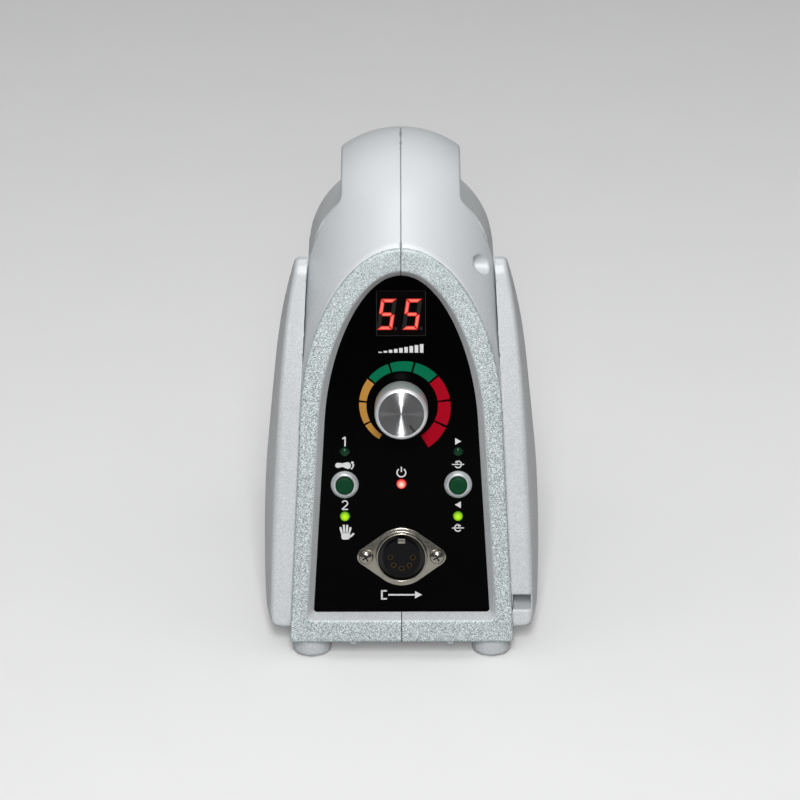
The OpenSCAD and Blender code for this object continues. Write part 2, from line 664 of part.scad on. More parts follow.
// indicator lamps
led_sink = 0.6;
led_flange = [0.8, 1];
led_root = 2.6;
led_leg = 0.5;
leg_x = 0.7;
module led(x, v) at_panel(x, v) {
    translate([0, 0, -panel_t - led_root]) cylinder(d = led_dia, h = panel_t + led_root - led_sink);
    translate([0, 0, -led_sink]) intersection() {
        sphere(d = led_dia);
        cylinder(d = led_dia, h = led_dia);
    }
    translate([0, 0, -panel_t - led_flange.y - seat_gap])
        cylinder(d = led_dia + led_flange.x, h = led_flange.y);
    pair(leg_x) translate([-led_leg / 2, -led_leg / 2, seat_gap - panel_t - board_gap])
        cube([led_leg, led_leg, board_gap - led_root + 0.2]);
}
module mode_leds() color([0.4, 0.8, 0.1]) for (s = [-1, 1]) led(-button_x, button_v + s * led_rise);
module direction_leds() color([0.4, 0.8, 0.1]) for (s = [-1, 1]) led(button_x, button_v + s * led_rise);
module power_led() color([0.9, 0.1, 0.1]) led(0, button_v);

// output socket
flange_t = 1.2;
flange_r = 9.4;
ear_r = 2.9;
ear_a = acos((flange_r - ear_r) / (socket_pitch / 2));
ring_h = 2.6;
ring_bevel = 0.4;
ring_root = 0.6;
shell_l = 14;
shell_wall = 0.8;
insert_seat = 4;
key_w = 2.4;
contact_r = 0.9;
contact_bore_r = 0.5;
contact_tail = 3;
socket_head_r = 2.3;
socket_head_h = 1.3;
module socket_flange() {
    side = [[0, flange_r, 1], [socket_pitch / 2, ear_r, 1], [socket_pitch / 2, ear_r, -1], [0, flange_r, -1]];
    circle(flange_r);
    for (s = [-1, 1]) {
        translate([s * socket_pitch / 2, 0]) circle(ear_r);
        polygon([for (p = side) [s * (p.x + p.y * cos(ear_a)), p.z * p.y * sin(ear_a)]]);
    }
}
module socket_shell() color(nickel) at_panel(0, socket_v, seat_gap) difference() {
    union() {
        linear_extrude(flange_t) socket_flange();
        rotate_extrude() polygon([[shell_r - 2, 0], [ring_dia / 2 + ring_root, 0],
            [ring_dia / 2, flange_t + ring_bevel], [ring_dia / 2, ring_h + flange_t - ring_bevel],
            [ring_dia / 2 - ring_bevel, ring_h + flange_t], [shell_r - 2, ring_h + flange_t]]);
        translate([0, 0, -shell_l]) cylinder(r = shell_r, h = shell_l + eps);
    }
    through(shell_r - shell_wall);
    pair(socket_pitch / 2) through(screw_r + fit);
}
module contact_ring() for (a = [180:45:360]) rotate(a) translate([contact_pcd / 2, 0, 0]) children();
module socket_insert() color(black) at_panel(0, socket_v) difference() {
    union() {
        translate([0, 0, 1 - shell_l]) cylinder(r = shell_r - shell_wall - fit, h = insert_seat);
        translate([0, 0, insert_seat - shell_l]) cylinder(d = insert_dia, h = shell_l - insert_seat + ring_h);
        translate([-key_w / 2, insert_dia / 2 - 0.6, insert_seat - shell_l])
            cube([key_w, shell_r - shell_wall - 0.1 - insert_dia / 2, shell_l - insert_seat + ring_h]);
    }
    contact_ring() through(contact_r);
}
module socket_contacts() color([0.8, 0.68, 0.38]) at_panel(0, socket_v) contact_ring() difference() {
    translate([0, 0, -shell_l - contact_tail]) cylinder(r = contact_r - fit, h = shell_l + ring_h + 2.4);
    translate([0, 0, ring_h - 5]) cylinder(r = contact_bore_r, h = reach);
}
module socket_screws() color(steel) pair(socket_pitch / 2) at_panel(0, socket_v, flange_t + 2 * seat_gap)
    pan_screw(socket_head_r, socket_head_h, screw_r, flange_t + panel_t + 3);

// main board and its parts
heat_w = 34;
heat_h = 24;
heat_t = 2.4;
heat_y = main_set + main_l - 11;
fin_t = 1.4;
fin_l = 6.6;
fins = 7;
cap_r = 6.5;
cap_h = 24;
cap_groove = 0.4;
cap_x = 13;
cap_y = main_set + 12;
bridge = [11, 5, 11];
bridge_y = main_set + 7;
bridge_bevel = 2.4;
tab = [10, 1.3, 16];
chip = [10, 4.5, 9.2];
lead_h = 4;
lead = [0.8, 0.5];
tab_hole_r = 1.8;
header = [4.4, 6, 7];
header_wall = 0.7;
header_x = 22;
header_ys = [main_set + 9.5, main_set + 17];
small_head_r = 2.3;
small_head_h = 1.5;
main_top = main_z + board_t + 2 * seat_gap;
module main_board() color(board_green) difference() {
    translate([-main_w / 2, front_y + main_set, main_z + seat_gap]) cube([main_w, main_l, board_t]);
    for (p = main_posts) translate([p.x, p.y, main_z]) through(cover_screw_r + fit);
}
module on_main(x, y) translate([x, front_y + y, main_top]) children();
module main_board_screws() color(steel) for (p = main_posts) translate([p.x, p.y, main_top])
    pan_screw(small_head_r, small_head_h, cover_screw_r, board_t + 4.5);
module filter_capacitors() color([0.12, 0.14, 0.3]) pair(cap_x) on_main(0, cap_y) rotate_extrude()
    polygon([[0, 0], [cap_r, 0], [cap_r, 1.6], [cap_r - cap_groove, 2], [cap_r - cap_groove, 2.8],
        [cap_r, 3.2], [cap_r, cap_h - 0.6], [cap_r - 0.6, cap_h], [0, cap_h]]);
module bridge_rectifier() color(black) on_main(0, bridge_y) difference() {
    translate([-bridge.x / 2, -bridge.y / 2, 0]) cube(bridge);
    translate([bridge.x / 2, 0, bridge.z]) rotate([0, 45, 0])
        cube([bridge_bevel, 2 * bridge.y, bridge_bevel], center = true);
}
module heat_sink() color([0.3, 0.31, 0.33]) on_main(-heat_w / 2, heat_y) {
    cube([heat_w, heat_t, heat_h]);
    for (i = [0:fins]) translate([i * (heat_w - fin_t) / fins, heat_t - eps, 0]) cube([fin_t, fin_l, heat_h]);
}
module power_transistor() color(black) on_main(0, heat_y - seat_gap) difference() {
    union() {
        translate([-tab.x / 2, -tab.y, lead_h]) cube(tab);
        translate([-chip.x / 2, -chip.y, lead_h]) cube(chip);
        for (x = [-1:1]) translate([x * pin_pitch - lead.x / 2, -2.6, 0])
            cube([lead.x, lead.y, lead_h + eps]);
    }
    translate([0, 0, lead_h + tab.z - 3]) rotate([90, 0, 0]) through(tab_hole_r);
}
module wire_headers() color([0.85, 0.84, 0.8]) for (y = header_ys) pair(header_x) on_main(0, y) difference() {
    translate([-header.x / 2, -header.y / 2, 0]) cube(header);
    translate([header_wall - header.x / 2, header_wall - header.y / 2, 2])
        cube(header - [2 * header_wall, 2 * header_wall, 1]);
}

// mains transformer
leg = core_w / 6;
bob_t = 1;
bob_z0 = core_z + leg + fit;
bob_h = core_h - 2 * leg - 2 * fit;
wind_inset = 0.4;
strap_w = core_t - 4;
module at_core() translate([0, front_y + core_y, 0]) children();
module core_block(size, z) translate([-size.x / 2, -size.y / 2, z]) cube(size);
module leg_column(r, z0, h) core_block([2 * leg + 2 * r, core_t + 2 * r, h], z0);
module transformer_core() color([0.33, 0.33, 0.35]) at_core() difference() {
    core_block([core_w, core_t, core_h - seat_gap], core_z + seat_gap);
    pair(leg * 1.5) core_block([leg, 2 * core_t, core_h - 2 * leg], core_z + leg);
}
module transformer_bobbin() color([0.86, 0.84, 0.76]) at_core() difference() {
    union() {
        for (z = [bob_z0, bob_z0 + bob_h - bob_t])
            core_block([4 * leg - 2 * fit, core_t + 2 * flange_d, bob_t], z);
        leg_column(bob_t, bob_z0, bob_h);
    }
    leg_column(fit, bob_z0 - 1, bob_h + 2);
}
module transformer_winding() color([0.75, 0.55, 0.12]) at_core() difference() {
    core_block([4 * leg - 2 * wind_inset, core_t + 2 * wind_d, bob_h - 2 * bob_t - 2 * fit],
        bob_z0 + bob_t + fit);
    leg_column(bob_t + fit, bob_z0 - 1, bob_h + 2);
}
module transformer_strap() color(nickel) at_core() difference() {
    union() {
        core_block([core_w + 2 * strap_t + 2 * fit, strap_w, core_h + strap_t], core_z + seat_gap);
        core_block([core_w + 2 * strap_t + 2 * strap_reach, strap_w, strap_t], core_z + seat_gap);
    }
    core_block([core_w + 2 * fit, 2 * core_t, core_h + 1 + fit], core_z - 1);
    pair(strap_x) translate([0, 0, core_z]) through(cover_screw_r + fit);
}
module transformer_screws() color(steel) at_core() pair(strap_x)
    translate([0, 0, core_z + strap_t + 2 * seat_gap])
        pan_screw(small_head_r, small_head_h, cover_screw_r, strap_t + 3);

// rear plate and what it carries
frame_w = 21;
frame_h = 15;
frame_t = 1.8;
body_w = 18.8;
body_h = 12.6;
body_l = 14;
blade = [0.8, 6, 5];
blade_x = 5;
rocker_r = 8.2;
rocker_q = -1.2;
rocker_w = 9.2;
rocker_play = 0.4;
rocker_dip = [3, 4.5, -5];
pivot_r = 1.1;
inlet_in = [15.4, 8.2];
inlet_out = [18.6, 11.4];
inlet_flange = [30, 14.4];
inlet_flange_t = 1.6;
inlet_pin_x = 4.3;
inlet_pin_r = 1.2;
inlet_l = 14;
inlet_floor = 3;
inlet_screw_x = 12;
fuse_r = 5.5;
fuse_bore_r = 3.5;
fuse_l = 24;
fuse_floor = 1.5;
fuse_flange = 1.5;
fuse_cap_h = 2.2;
fuse_slot = [10, 1.2, 0.8];
link_r = 2.3;
link_end_r = 2.6;
link_l = 20;
link_end = 5.6;
jack_body = 12;
jack_l = 20;
bush_r = 4.5;
bush_h = 4;
jack_nut_r = 6.4;
jack_nut_h = 2.2;
module stadium(s) {
    square([s.x - s.y, s.y], center = true);
    for (x = [-1, 1]) translate([x * (s.x - s.y) / 2, 0]) circle(d = s.y);
}
module rear_panel() color([0.1, 0.1, 0.11]) difference() {
    at_rear(0, rear_window_z + rear_window_h / 2) translate([0, 0, -rear_panel_t])
        linear_extrude(rear_panel_t - seat_gap)
            slab(rear_window_w + 2 * rear_plate_margin, rear_window_h + 2 * rear_plate_margin - 1, 2);
    at_rear(0, switch_z) translate([0, 0, -reach / 2]) linear_extrude(reach)
        square([body_w + 2 * hole_fit, body_h + 2 * hole_fit], center = true);
    at_rear(0, inlet_z) translate([0, 0, -reach / 2]) linear_extrude(reach)
        stadium(inlet_out + 2 * [hole_fit, hole_fit]);
    pair(inlet_screw_x) at_rear(0, inlet_z) through(cover_screw_r + fit);
    at_rear(-jack_x, jack_z) through(fuse_r + hole_fit);
    at_rear(jack_x, jack_z) through(bush_r + hole_fit);
}
module switch_body() color(black) at_rear(0, switch_z) difference() {
    union() {
        translate([0, 0, seat_gap]) linear_extrude(frame_t - seat_gap) slab(frame_w, frame_h, 1.5);
        translate([-body_w / 2, -body_h / 2, -body_l]) cube([body_w, body_h, body_l + frame_t / 2]);
        pair(blade_x) translate([-blade.x / 2, -blade.y / 2, -body_l - blade.z]) cube(blade + [0, 0, eps]);
    }
    translate([-rocker_r - rocker_play, -rocker_w / 2 - rocker_play, rocker_q - rocker_r - rocker_play])
        cube([2 * (rocker_r + rocker_play), rocker_w + 2 * rocker_play, reach]);
    translate([0, 0, rocker_q]) rotate([90, 0, 0]) through(pivot_r + run_fit);
}
module power_rocker() color([0.08, 0.08, 0.08])
    at_rear(0, switch_z) translate([0, 0, rocker_q]) rotate([0, rocker_tilt, 0]) {
        translate([0, rocker_w / 2, 0]) rotate([90, 0, 0]) linear_extrude(rocker_w) intersection() {
            circle(rocker_r);
            polygon([[-9, rocker_dip.z], [9, rocker_dip.z], [9, rocker_dip.y], [0, rocker_dip.x],
                [-9, rocker_dip.y]]);
        }
        translate([0, body_h / 2 - 0.2, 0]) rotate([90, 0, 0]) cylinder(r = pivot_r, h = body_h - 0.4);
    }
module mains_inlet() color(black) at_rear(0, inlet_z) difference() {
    union() {
        translate([0, 0, seat_gap]) linear_extrude(inlet_flange_t) stadium(inlet_flange);
        translate([0, 0, -inlet_l]) linear_extrude(inlet_l + 0.6) stadium(inlet_out);
    }
    translate([0, 0, inlet_floor - inlet_l]) linear_extrude(reach) stadium(inlet_in);
    pair(inlet_pin_x) translate([0, 0, -inlet_l - 1]) cylinder(r = inlet_pin_r + fit, h = 2 * inlet_floor);
    pair(inlet_screw_x) through(cover_screw_r + fit);
}
module inlet_pins() color([0.8, 0.72, 0.5]) at_rear(0, inlet_z) pair(inlet_pin_x) {
    translate([0, 0, -inlet_l - 4]) cylinder(r = inlet_pin_r, h = inlet_l + 1);
    translate([0, 0, -3]) sphere(r = inlet_pin_r);
}
module inlet_screws() color(steel) pair(inlet_screw_x) at_rear(0, inlet_z)
    translate([0, 0, inlet_flange_t + 2 * seat_gap]) pan_screw(small_head_r, small_head_h, cover_screw_r, 7);
module fuse_holder() color(black) at_rear(-jack_x, jack_z) difference() {
    union() {
        translate([0, 0, -fuse_l]) cylinder(r = fuse_r, h = fuse_l + 0.6);
        translate([0, 0, seat_gap]) cylinder(r = fuse_r + fuse_flange, h = fuse_flange);
    }
    translate([0, 0, fuse_floor - fuse_l]) cylinder(r = fuse_bore_r, h = reach);
}
module fuse_cap() color([0.07, 0.07, 0.07]) at_rear(-jack_x, jack_z) difference() {
    cap_z = fuse_flange + 2 * seat_gap;
    union() {
        translate([0, 0, -1.6]) cylinder(r = fuse_bore_r - fit, h = 4);
        translate([0, 0, cap_z]) cylinder(r = fuse_r - 0.3, h = fuse_cap_h);
    }
    translate([-fuse_slot.x / 2, -fuse_slot.y / 2, cap_z + fuse_cap_h - fuse_slot.z])
        cube(fuse_slot + [0, 0, 1]);
}
module fuse_link() color([0.85, 0.86, 0.84]) at_rear(-jack_x, jack_z)
    translate([0, 0, fuse_floor - fuse_l + 2 * seat_gap]) {
        cylinder(r = link_r, h = link_l);
        for (z = [0, link_l - link_end]) translate([0, 0, z]) cylinder(r = link_end_r, h = link_end);
    }
module pedal_jack() color(black) at_rear(jack_x, jack_z) difference() {
    union() {
        translate([-jack_body / 2, -jack_body / 2, -rear_panel_t - jack_l])
            cube([jack_body, jack_body, jack_l - seat_gap]);
        translate([0, 0, -rear_panel_t - 1]) cylinder(r = bush_r, h = rear_panel_t + bush_h + 1);
    }
    translate([0, 0, 2 - rear_panel_t - jack_l]) cylinder(d = jack_bore, h = reach);
}
module pedal_jack_nut() color(nickel) at_rear(jack_x, jack_z) translate([0, 0, seat_gap]) difference() {
    cylinder(r = jack_nut_r, h = jack_nut_h, $fn = 6);
    through(bush_r + fit);
}

left_housing();
right_housing();
left_side_cover();
right_side_cover();
housing_screws();
cover_screws();
foot_pads();
front_panel();
display_module();
control_board();
board_spacers();
board_screws();
potentiometer_body();
potentiometer_nut();
potentiometer_shaft();
knob_core();
speed_knob();
mode_collar();
mode_switch();
mode_button();
direction_collar();
direction_switch();
direction_button();
mode_leds();
direction_leds();
power_led();
socket_shell();
socket_insert();
socket_contacts();
socket_screws();
main_board();
main_board_screws();
filter_capacitors();
bridge_rectifier();
heat_sink();
power_transistor();
wire_headers();
transformer_core();
transformer_bobbin();
transformer_winding();
transformer_strap();
transformer_screws();
rear_panel();
switch_body();
power_rocker();
mains_inlet();
inlet_pins();
inlet_screws();
fuse_holder();
fuse_cap();
fuse_link();
pedal_jack();
pedal_jack_nut();
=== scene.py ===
import bpy, bmesh
import numpy as np
from functools import partialmethod
from math import radians, sin, cos, tan, pi, sqrt
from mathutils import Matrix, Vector


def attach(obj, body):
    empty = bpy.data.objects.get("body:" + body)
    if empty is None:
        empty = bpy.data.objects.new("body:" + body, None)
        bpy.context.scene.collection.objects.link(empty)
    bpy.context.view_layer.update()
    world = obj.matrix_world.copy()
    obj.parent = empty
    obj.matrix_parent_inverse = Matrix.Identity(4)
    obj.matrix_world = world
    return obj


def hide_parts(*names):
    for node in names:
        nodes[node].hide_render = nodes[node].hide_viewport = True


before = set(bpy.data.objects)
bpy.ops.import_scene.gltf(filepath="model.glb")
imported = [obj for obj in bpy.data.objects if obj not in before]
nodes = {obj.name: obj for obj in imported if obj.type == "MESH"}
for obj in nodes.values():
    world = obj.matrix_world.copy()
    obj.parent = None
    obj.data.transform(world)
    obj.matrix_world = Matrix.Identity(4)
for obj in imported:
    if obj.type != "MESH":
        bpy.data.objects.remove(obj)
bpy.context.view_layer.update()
mm = 0.001
print("frame loaded,", len(nodes), "nodes")

# sizes of the housing, in millimetres and degrees, as in the solids
body = {"depth": 128, "baseHalf": 35.05, "draft": 3, "footH": 6, "lean": 11, "bezelH": 126, "archH": 50,
        "bezelStep": 0.6, "hoodRise": 48, "hoodRun": 17, "crestR": 35, "fall": 30, "handleHalf": 18.6,
        "handleT": 15, "hoodBack": 41.5, "gapFloor": 101.5, "postD": 17, "postSet": 6, "gapR": 6,
        "domeAxis": 89.5, "windowLift": 9, "windowH": 107.9, "windowHalf": 21.05, "windowDraft": 3.5,
        "windowArch": 46, "recess": 3.5, "rimRun": 1.9, "seam": 0.15, "ringBack": 0.75}
frontY, rearY = -body["depth"] / 2, body["depth"] / 2
leanS, leanC = sin(radians(body["lean"])), cos(radians(body["lean"]))
draftS, draftC = sin(radians(body["draft"])), cos(radians(body["draft"]))
sideSlope = tan(radians(body["draft"]))
bezelTaper = sideSlope * leanC
bezelHalf = body["baseHalf"] - bezelTaper * body["bezelH"]
windowTaper = tan(radians(body["windowDraft"]))


def onBezel(u, v, n):  # point u right, v up the sloping front and n out of it
    u, v, n = np.broadcast_arrays(np.asarray(u, float), v, n)
    return np.stack([u, frontY + v * leanS - n * leanC, body["footH"] + v * leanC + n * leanS], -1)


def onPanel(u, v, n=0.0):  # the same, from the panel's visible bottom edge and its face
    return onBezel(u, np.asarray(v, float) + body["windowLift"], np.asarray(n, float) - body["recess"])


def heading(angle):  # step of length one in this direction
    return np.array([cos(angle), sin(angle)])


def lengths(steps):  # of a list of vectors, kept as a column
    return np.linalg.norm(steps, axis=-1, keepdims=True)


def ribbon(path, half):  # path of (y, z) drawn out from -half to half along x
    path = np.asarray(path)
    edges = [np.concatenate([np.full((len(path), 1), x), path], 1) for x in (-half, half)]
    return np.stack(edges, 1).reshape(-1, 3)


# shader maths: one class that wraps a socket
class Wire:
    def __init__(self, tree, socket):
        self.tree, self.socket = tree, socket

    def node(self, kind, settings=None, out=0, **sockets):  # any other node: settings first, then its sockets
        made = self.tree.nodes.new(kind)
        for key, value in (settings or {}).items():
            setattr(made, key, value)
        for key, value in sockets.items():  # i0, i1 and so on are sockets by number
            numbered = key[0] == "i" and key[1:].isdigit()
            target = made.inputs[int(key[1:]) if numbered else key.replace("_", " ")]
            if isinstance(value, Wire):
                self.tree.links.new(value.socket, target)
            else:
                target.default_value = value
        return Wire(self.tree, made.outputs[out])

    def calc(self, operation, other, swap=False):
        a, b = (other, self) if swap else (self, other)
        return self.node("ShaderNodeMath", {"operation": operation}, i0=a, i1=b)

    __add__, __radd__ = partialmethod(calc, "ADD"), partialmethod(calc, "ADD", swap=True)
    __sub__, __rsub__ = partialmethod(calc, "SUBTRACT"), partialmethod(calc, "SUBTRACT", swap=True)
    __mul__, __rmul__ = partialmethod(calc, "MULTIPLY"), partialmethod(calc, "MULTIPLY", swap=True)
    __pow__, __rpow__ = partialmethod(calc, "POWER"), partialmethod(calc, "POWER", swap=True)

    def noise(self, scale, detail=2.0, rough=0.5):  # self is a vector
        return self.node("ShaderNodeTexNoise", None, 0, Vector=self, Scale=scale, Detail=detail,
                         Roughness=rough)

    def mix(self, low, high):  # colours low to high by this value, each a wire or three numbers
        low, high = [c if isinstance(c, Wire) else (*c, 1.0) for c in (low, high)]
        return self.node("ShaderNodeMix", {"data_type": "RGBA"}, 2, i0=self, i6=low, i7=high)

    def bump(self, strength, distance=0.0001):
        return self.node("ShaderNodeBump", None, 0, Strength=strength, Distance=distance, Height=self)


def finish(name, constants, paint=None):  # constants on the shader's sockets, paint(place) for what varies
    made = bpy.data.materials.new(name)
    made.use_nodes = True
    shader = made.node_tree.nodes["Principled BSDF"]
    for key, value in constants.items():
        shader.inputs[key].default_value = value
    if paint:
        place = Wire(made.node_tree, None).node("ShaderNodeTexCoord", None, 3)
        for key, wire in paint(place).items():
            made.node_tree.links.new(wire.socket, shader.inputs[key])
    return made


# finishes: scales are per metre; the flakes' contrast fades between two heights in metres, a painted
# highlight that washes them out on the hood
flakes = {"scale": 4600.0, "grain": 3200.0, "cloud": 60.0, "highlightFade": (0.09, 0.135)}


def silverPaint(low, high, shown):  # flakes in the paint; shown is their share low down and on the hood, the small share on the hood a painted highlight hiding them
    def paint(place):
        cell = place.node("ShaderNodeTexVoronoi", {"feature": "F1"}, 1, Vector=place, Scale=flakes["scale"])
        fleck = cell.node("ShaderNodeSeparateColor", None, 0, i0=cell)
        height = place.node("ShaderNodeSeparateXYZ", None, 2, i0=place)
        # the flakes' share falls with height: painted highlight over the hood
        share = height.node("ShaderNodeMapRange", None, 0, Value=height, From_Min=flakes["highlightFade"][0],
                            From_Max=flakes["highlightFade"][1], To_Min=shown[0], To_Max=shown[1])
        tone = (fleck * 0.7 + place.noise(flakes["grain"], 3.0, 0.6) * 0.6 - 0.65) * share
        cloud = place.noise(flakes["cloud"], 3.0)
        return {"Base Color": (tone + cloud * 0.1 + 0.45).mix(low, high),
                "Roughness": tone * 0.2 + cloud * 0.06 + 0.48, "Normal": tone.bump(0.3, 0.0002)}
    return paint


def blackMould(place):  # fine grain over a broader mottling
    grain = place.noise(2400.0, 3.0)
    return {"Base Color": place.noise(300.0).mix((0.014, 0.014, 0.015), (0.03, 0.03, 0.031)),
            "Roughness": grain * 0.2 + 0.38, "Normal": grain.bump(0.15)}


def tinted(low, high, scale=500.0, rough=0.45, spread=0.15, detail=3.0, bump=0.0):
    # mottled between two colours, and rougher by up to spread where the mottling is high
    def paint(place):
        grain = place.noise(scale, detail)
        look = {"Base Color": grain.mix(low, high), "Roughness": grain * spread + rough}
        if bump:
            look["Normal"] = grain.bump(bump)
        return look
    return paint


def glowing(rim, core, power=1.3):  # lit plastic, brighter towards the core that the piece's glow value marks
    def paint(place):
        glow = place.node("ShaderNodeAttribute", {"attribute_name": "glow"}, 2)
        lit = (glow ** power + place.noise(2500.0) * 0.04).mix(rim, core)
        return {"Emission Color": lit, "Base Color": (glow * 0.1).mix((0.02, 0.02, 0.02), rim)}
    return paint


# tinted finishes: name, constants, two colours, then scale, roughness, spread, detail and bump
shine = "Specular IOR Level"
metal = {"Metallic": 1.0}
printed = {shine: 0.05}
tints = {
    "panel": ("panelGloss", {shine: 0.02}, (0.0007, 0.0007, 0.0008), (0.0015, 0.0015, 0.0017), 90.0, 0.06,
              0.05, 4.0),
    "nickel": ("nickelPlate", metal, (0.27, 0.255, 0.215), (0.42, 0.40, 0.345), 420.0, 0.17, 0.12, 4.0),
    "steel": ("zincSteel", metal, (0.42, 0.41, 0.39), (0.66, 0.65, 0.63), 700.0, 0.22, 0.2, 4.0),
    "aluminium": ("turnedAluminium", metal, (0.20, 0.20, 0.205), (0.27, 0.27, 0.275), 500.0, 0.13, 0.06, 4.0),
    "brushed": ("brushedAluminium", {"Metallic": 0.55}, (0.64, 0.655, 0.665), (0.76, 0.775, 0.785), 900.0,
                0.26),
    "satin": ("satinChrome", {"Metallic": 0.5}, (0.52, 0.55, 0.555), (0.66, 0.69, 0.70), 900.0, 0.3),
    "greenCap": ("greenCap", {shine: 0.12}, (0.001, 0.042, 0.014), (0.003, 0.062, 0.022), 900.0, 0.35),
    "rubber": ("rubberPad", {}, (0.016, 0.016, 0.016), (0.035, 0.035, 0.035), 1800.0, 0.7, 0.15, 3.0, 0.3),
    "brass": ("contactBrass", metal, (0.58, 0.42, 0.16), (0.76, 0.6, 0.28), 700.0, 0.2),
    # brass darkened nearly to black so the contacts deep in the insert's holes read as shade: painted shade
    "contactShade": ("shadedContactBrass", metal, (0.06, 0.045, 0.02), (0.12, 0.09, 0.045), 700.0, 0.35),
    "pcb": ("solderMask", {"Coat Weight": 0.4}, (0.006, 0.07, 0.03), (0.012, 0.11, 0.05)),
    "iron": ("coreSheets", {"Metallic": 0.8}, (0.12, 0.12, 0.13), (0.22, 0.22, 0.23)),
    "bobbin": ("bobbinPlastic", {}, (0.6, 0.57, 0.47), (0.72, 0.69, 0.6)),
    "winding": ("windingTape", {"Coat Weight": 0.3}, (0.45, 0.27, 0.04), (0.6, 0.38, 0.07)),
    "sleeve": ("sleeveBlue", {"Coat Weight": 0.3}, (0.01, 0.013, 0.05), (0.02, 0.025, 0.085)),
    "sink": ("sinkBlack", {"Metallic": 0.7}, (0.03, 0.03, 0.034), (0.06, 0.06, 0.065)),
    "glass": ("fuseGlass", {"Transmission Weight": 0.7}, (0.8, 0.83, 0.83), (0.9, 0.92, 0.92), 300.0, 0.05),
    "displayFace": ("displayFace", {shine: 0.04}, (0.0016, 0.001, 0.001), (0.003, 0.002, 0.002), 700.0, 0.12),
    "insert": ("insertBlack", {shine: 0.1}, (0.004, 0.004, 0.005), (0.008, 0.008, 0.009), 900.0, 0.3),
    "white": ("whitePrint", printed, (0.72, 0.72, 0.72), (0.84, 0.84, 0.84), 2500.0, 0.4),
    "orange": ("orangePrint", printed, (0.47, 0.23, 0.045), (0.55, 0.28, 0.06), 2500.0, 0.35),
    "green": ("greenPrint", printed, (0.0005, 0.14, 0.062), (0.001, 0.17, 0.077), 2500.0, 0.35),
    "red": ("redPrint", printed, (0.36, 0.001, 0.011), (0.44, 0.003, 0.017), 2500.0, 0.35),
    "segmentOff": ("segmentOff", printed, (0.016, 0.014, 0.014), (0.025, 0.022, 0.021), 2500.0, 0.3),
    "ledOff": ("ledOff", {"Coat Weight": 0.2, shine: 0.1}, (0.002, 0.03, 0.01), (0.004, 0.046, 0.016), 900.0,
               0.15),
    # grey sheet laid deep in the hood's seam: painted shade
    "seamShade": ("seamShadeGrey", {}, (0.28, 0.29, 0.295), (0.37, 0.38, 0.385), 900.0, 0.6),
    # near-black sheets laid in seams, slots, gaps and recesses: painted shade
    "paintedShade": ("paintedShadeBlack", {}, (0.003, 0.003, 0.003), (0.006, 0.006, 0.006), 900.0, 0.6)}
finishes = {key: finish(name, constants, tinted(*look)) for key, (name, constants, *look) in tints.items()}
lampLit = {"Emission Strength": 1.0, shine: 0.1}
digitLit = {"Emission Strength": 1.0, "Roughness": 0.3, shine: 0.04}
finishes |= {
    "silver": finish("silverPaint", {"Metallic": 0.15},
                     silverPaint((0.50, 0.525, 0.54), (0.88, 0.905, 0.92), (0.8, 0.05))),
    # the housing's silver paint again, darker and with stronger flakes for the bezel, which lies out of the
    # highlight: painted shade
    "shadedFlake": finish("shadedFlakePaint", {"Metallic": 0.3},
                    silverPaint((0.24, 0.285, 0.29), (0.88, 0.955, 0.965), (2.0, 1.0))),
    "black": finish("blackMould", {}, blackMould),
    "segmentOn": finish("segmentOn", digitLit, glowing((0.7, 0.0, 0.0), (1.0, 0.2, 0.14))),
    "ledGreen": finish("ledGreen", lampLit, glowing((0.04, 0.26, 0.0), (0.56, 0.98, 0.0), 0.6)),
    "ledRed": finish("ledRed", lampLit, glowing((0.85, 0.0, 0.0), (1.0, 0.92, 0.72), 1.2))}


# mesh building
def placed(name, data):  # new object in the scene
    made = bpy.data.objects.new(name, data)
    bpy.context.scene.collection.objects.link(made)
    return made


def placedMesh(name, points, faces, material, smooth=True):  # points in metres, faces an array or a list
    mesh = bpy.data.meshes.new(name)
    mesh.from_pydata(points.tolist(), [], faces if isinstance(faces, list) else faces.tolist())
    mesh.polygons.foreach_set("use_smooth", np.full(len(mesh.polygons), smooth))
    mesh.materials.append(material)
    return placed(name, mesh)


def addPiece(name, points, faces, finishName, bodyName="unit", stands=(), slotName=None, normals=None,
             smooth=True):
    made = placedMesh(name, np.asarray(points, float) * mm, faces, finishes[finishName], smooth)
    if normals is not None:
        made.data.normals_split_custom_set(normals.tolist())
    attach(made, bodyName)
    if stands:
        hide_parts(*stands)
    return made


def gridFaces(rows, cols, wrapCols=False):  # quads of a grid of points
    i = np.arange(rows - 1)[:, None]
    j = np.arange(cols if wrapCols else cols - 1)[None, :]
    b = (j + 1) % cols
    return np.stack([i * cols + j, (i + 1) * cols + j, (i + 1) * cols + b, i * cols + b], -1).reshape(-1, 4)


def sharpen(made, angle):  # edges that turn by more than this many degrees stay sharp
    made.data.set_sharp_from_angle(angle=radians(angle))


def setGlow(made, values):  # how near each point is to the lit core
    glow = made.data.attributes.new("glow", "FLOAT", "POINT")
    glow.data.foreach_set("value", np.asarray(values, np.float32))


def fullTurn(steps):
    return np.linspace(0, 2 * pi, steps, endpoint=False)


def aroundAxis(u, v, r, h, turn):  # points at radii r and heights h round an axis square to the panel
    return onPanel(u + r * np.cos(turn), v + r * np.sin(turn), h + 0 * turn).reshape(-1, 3)


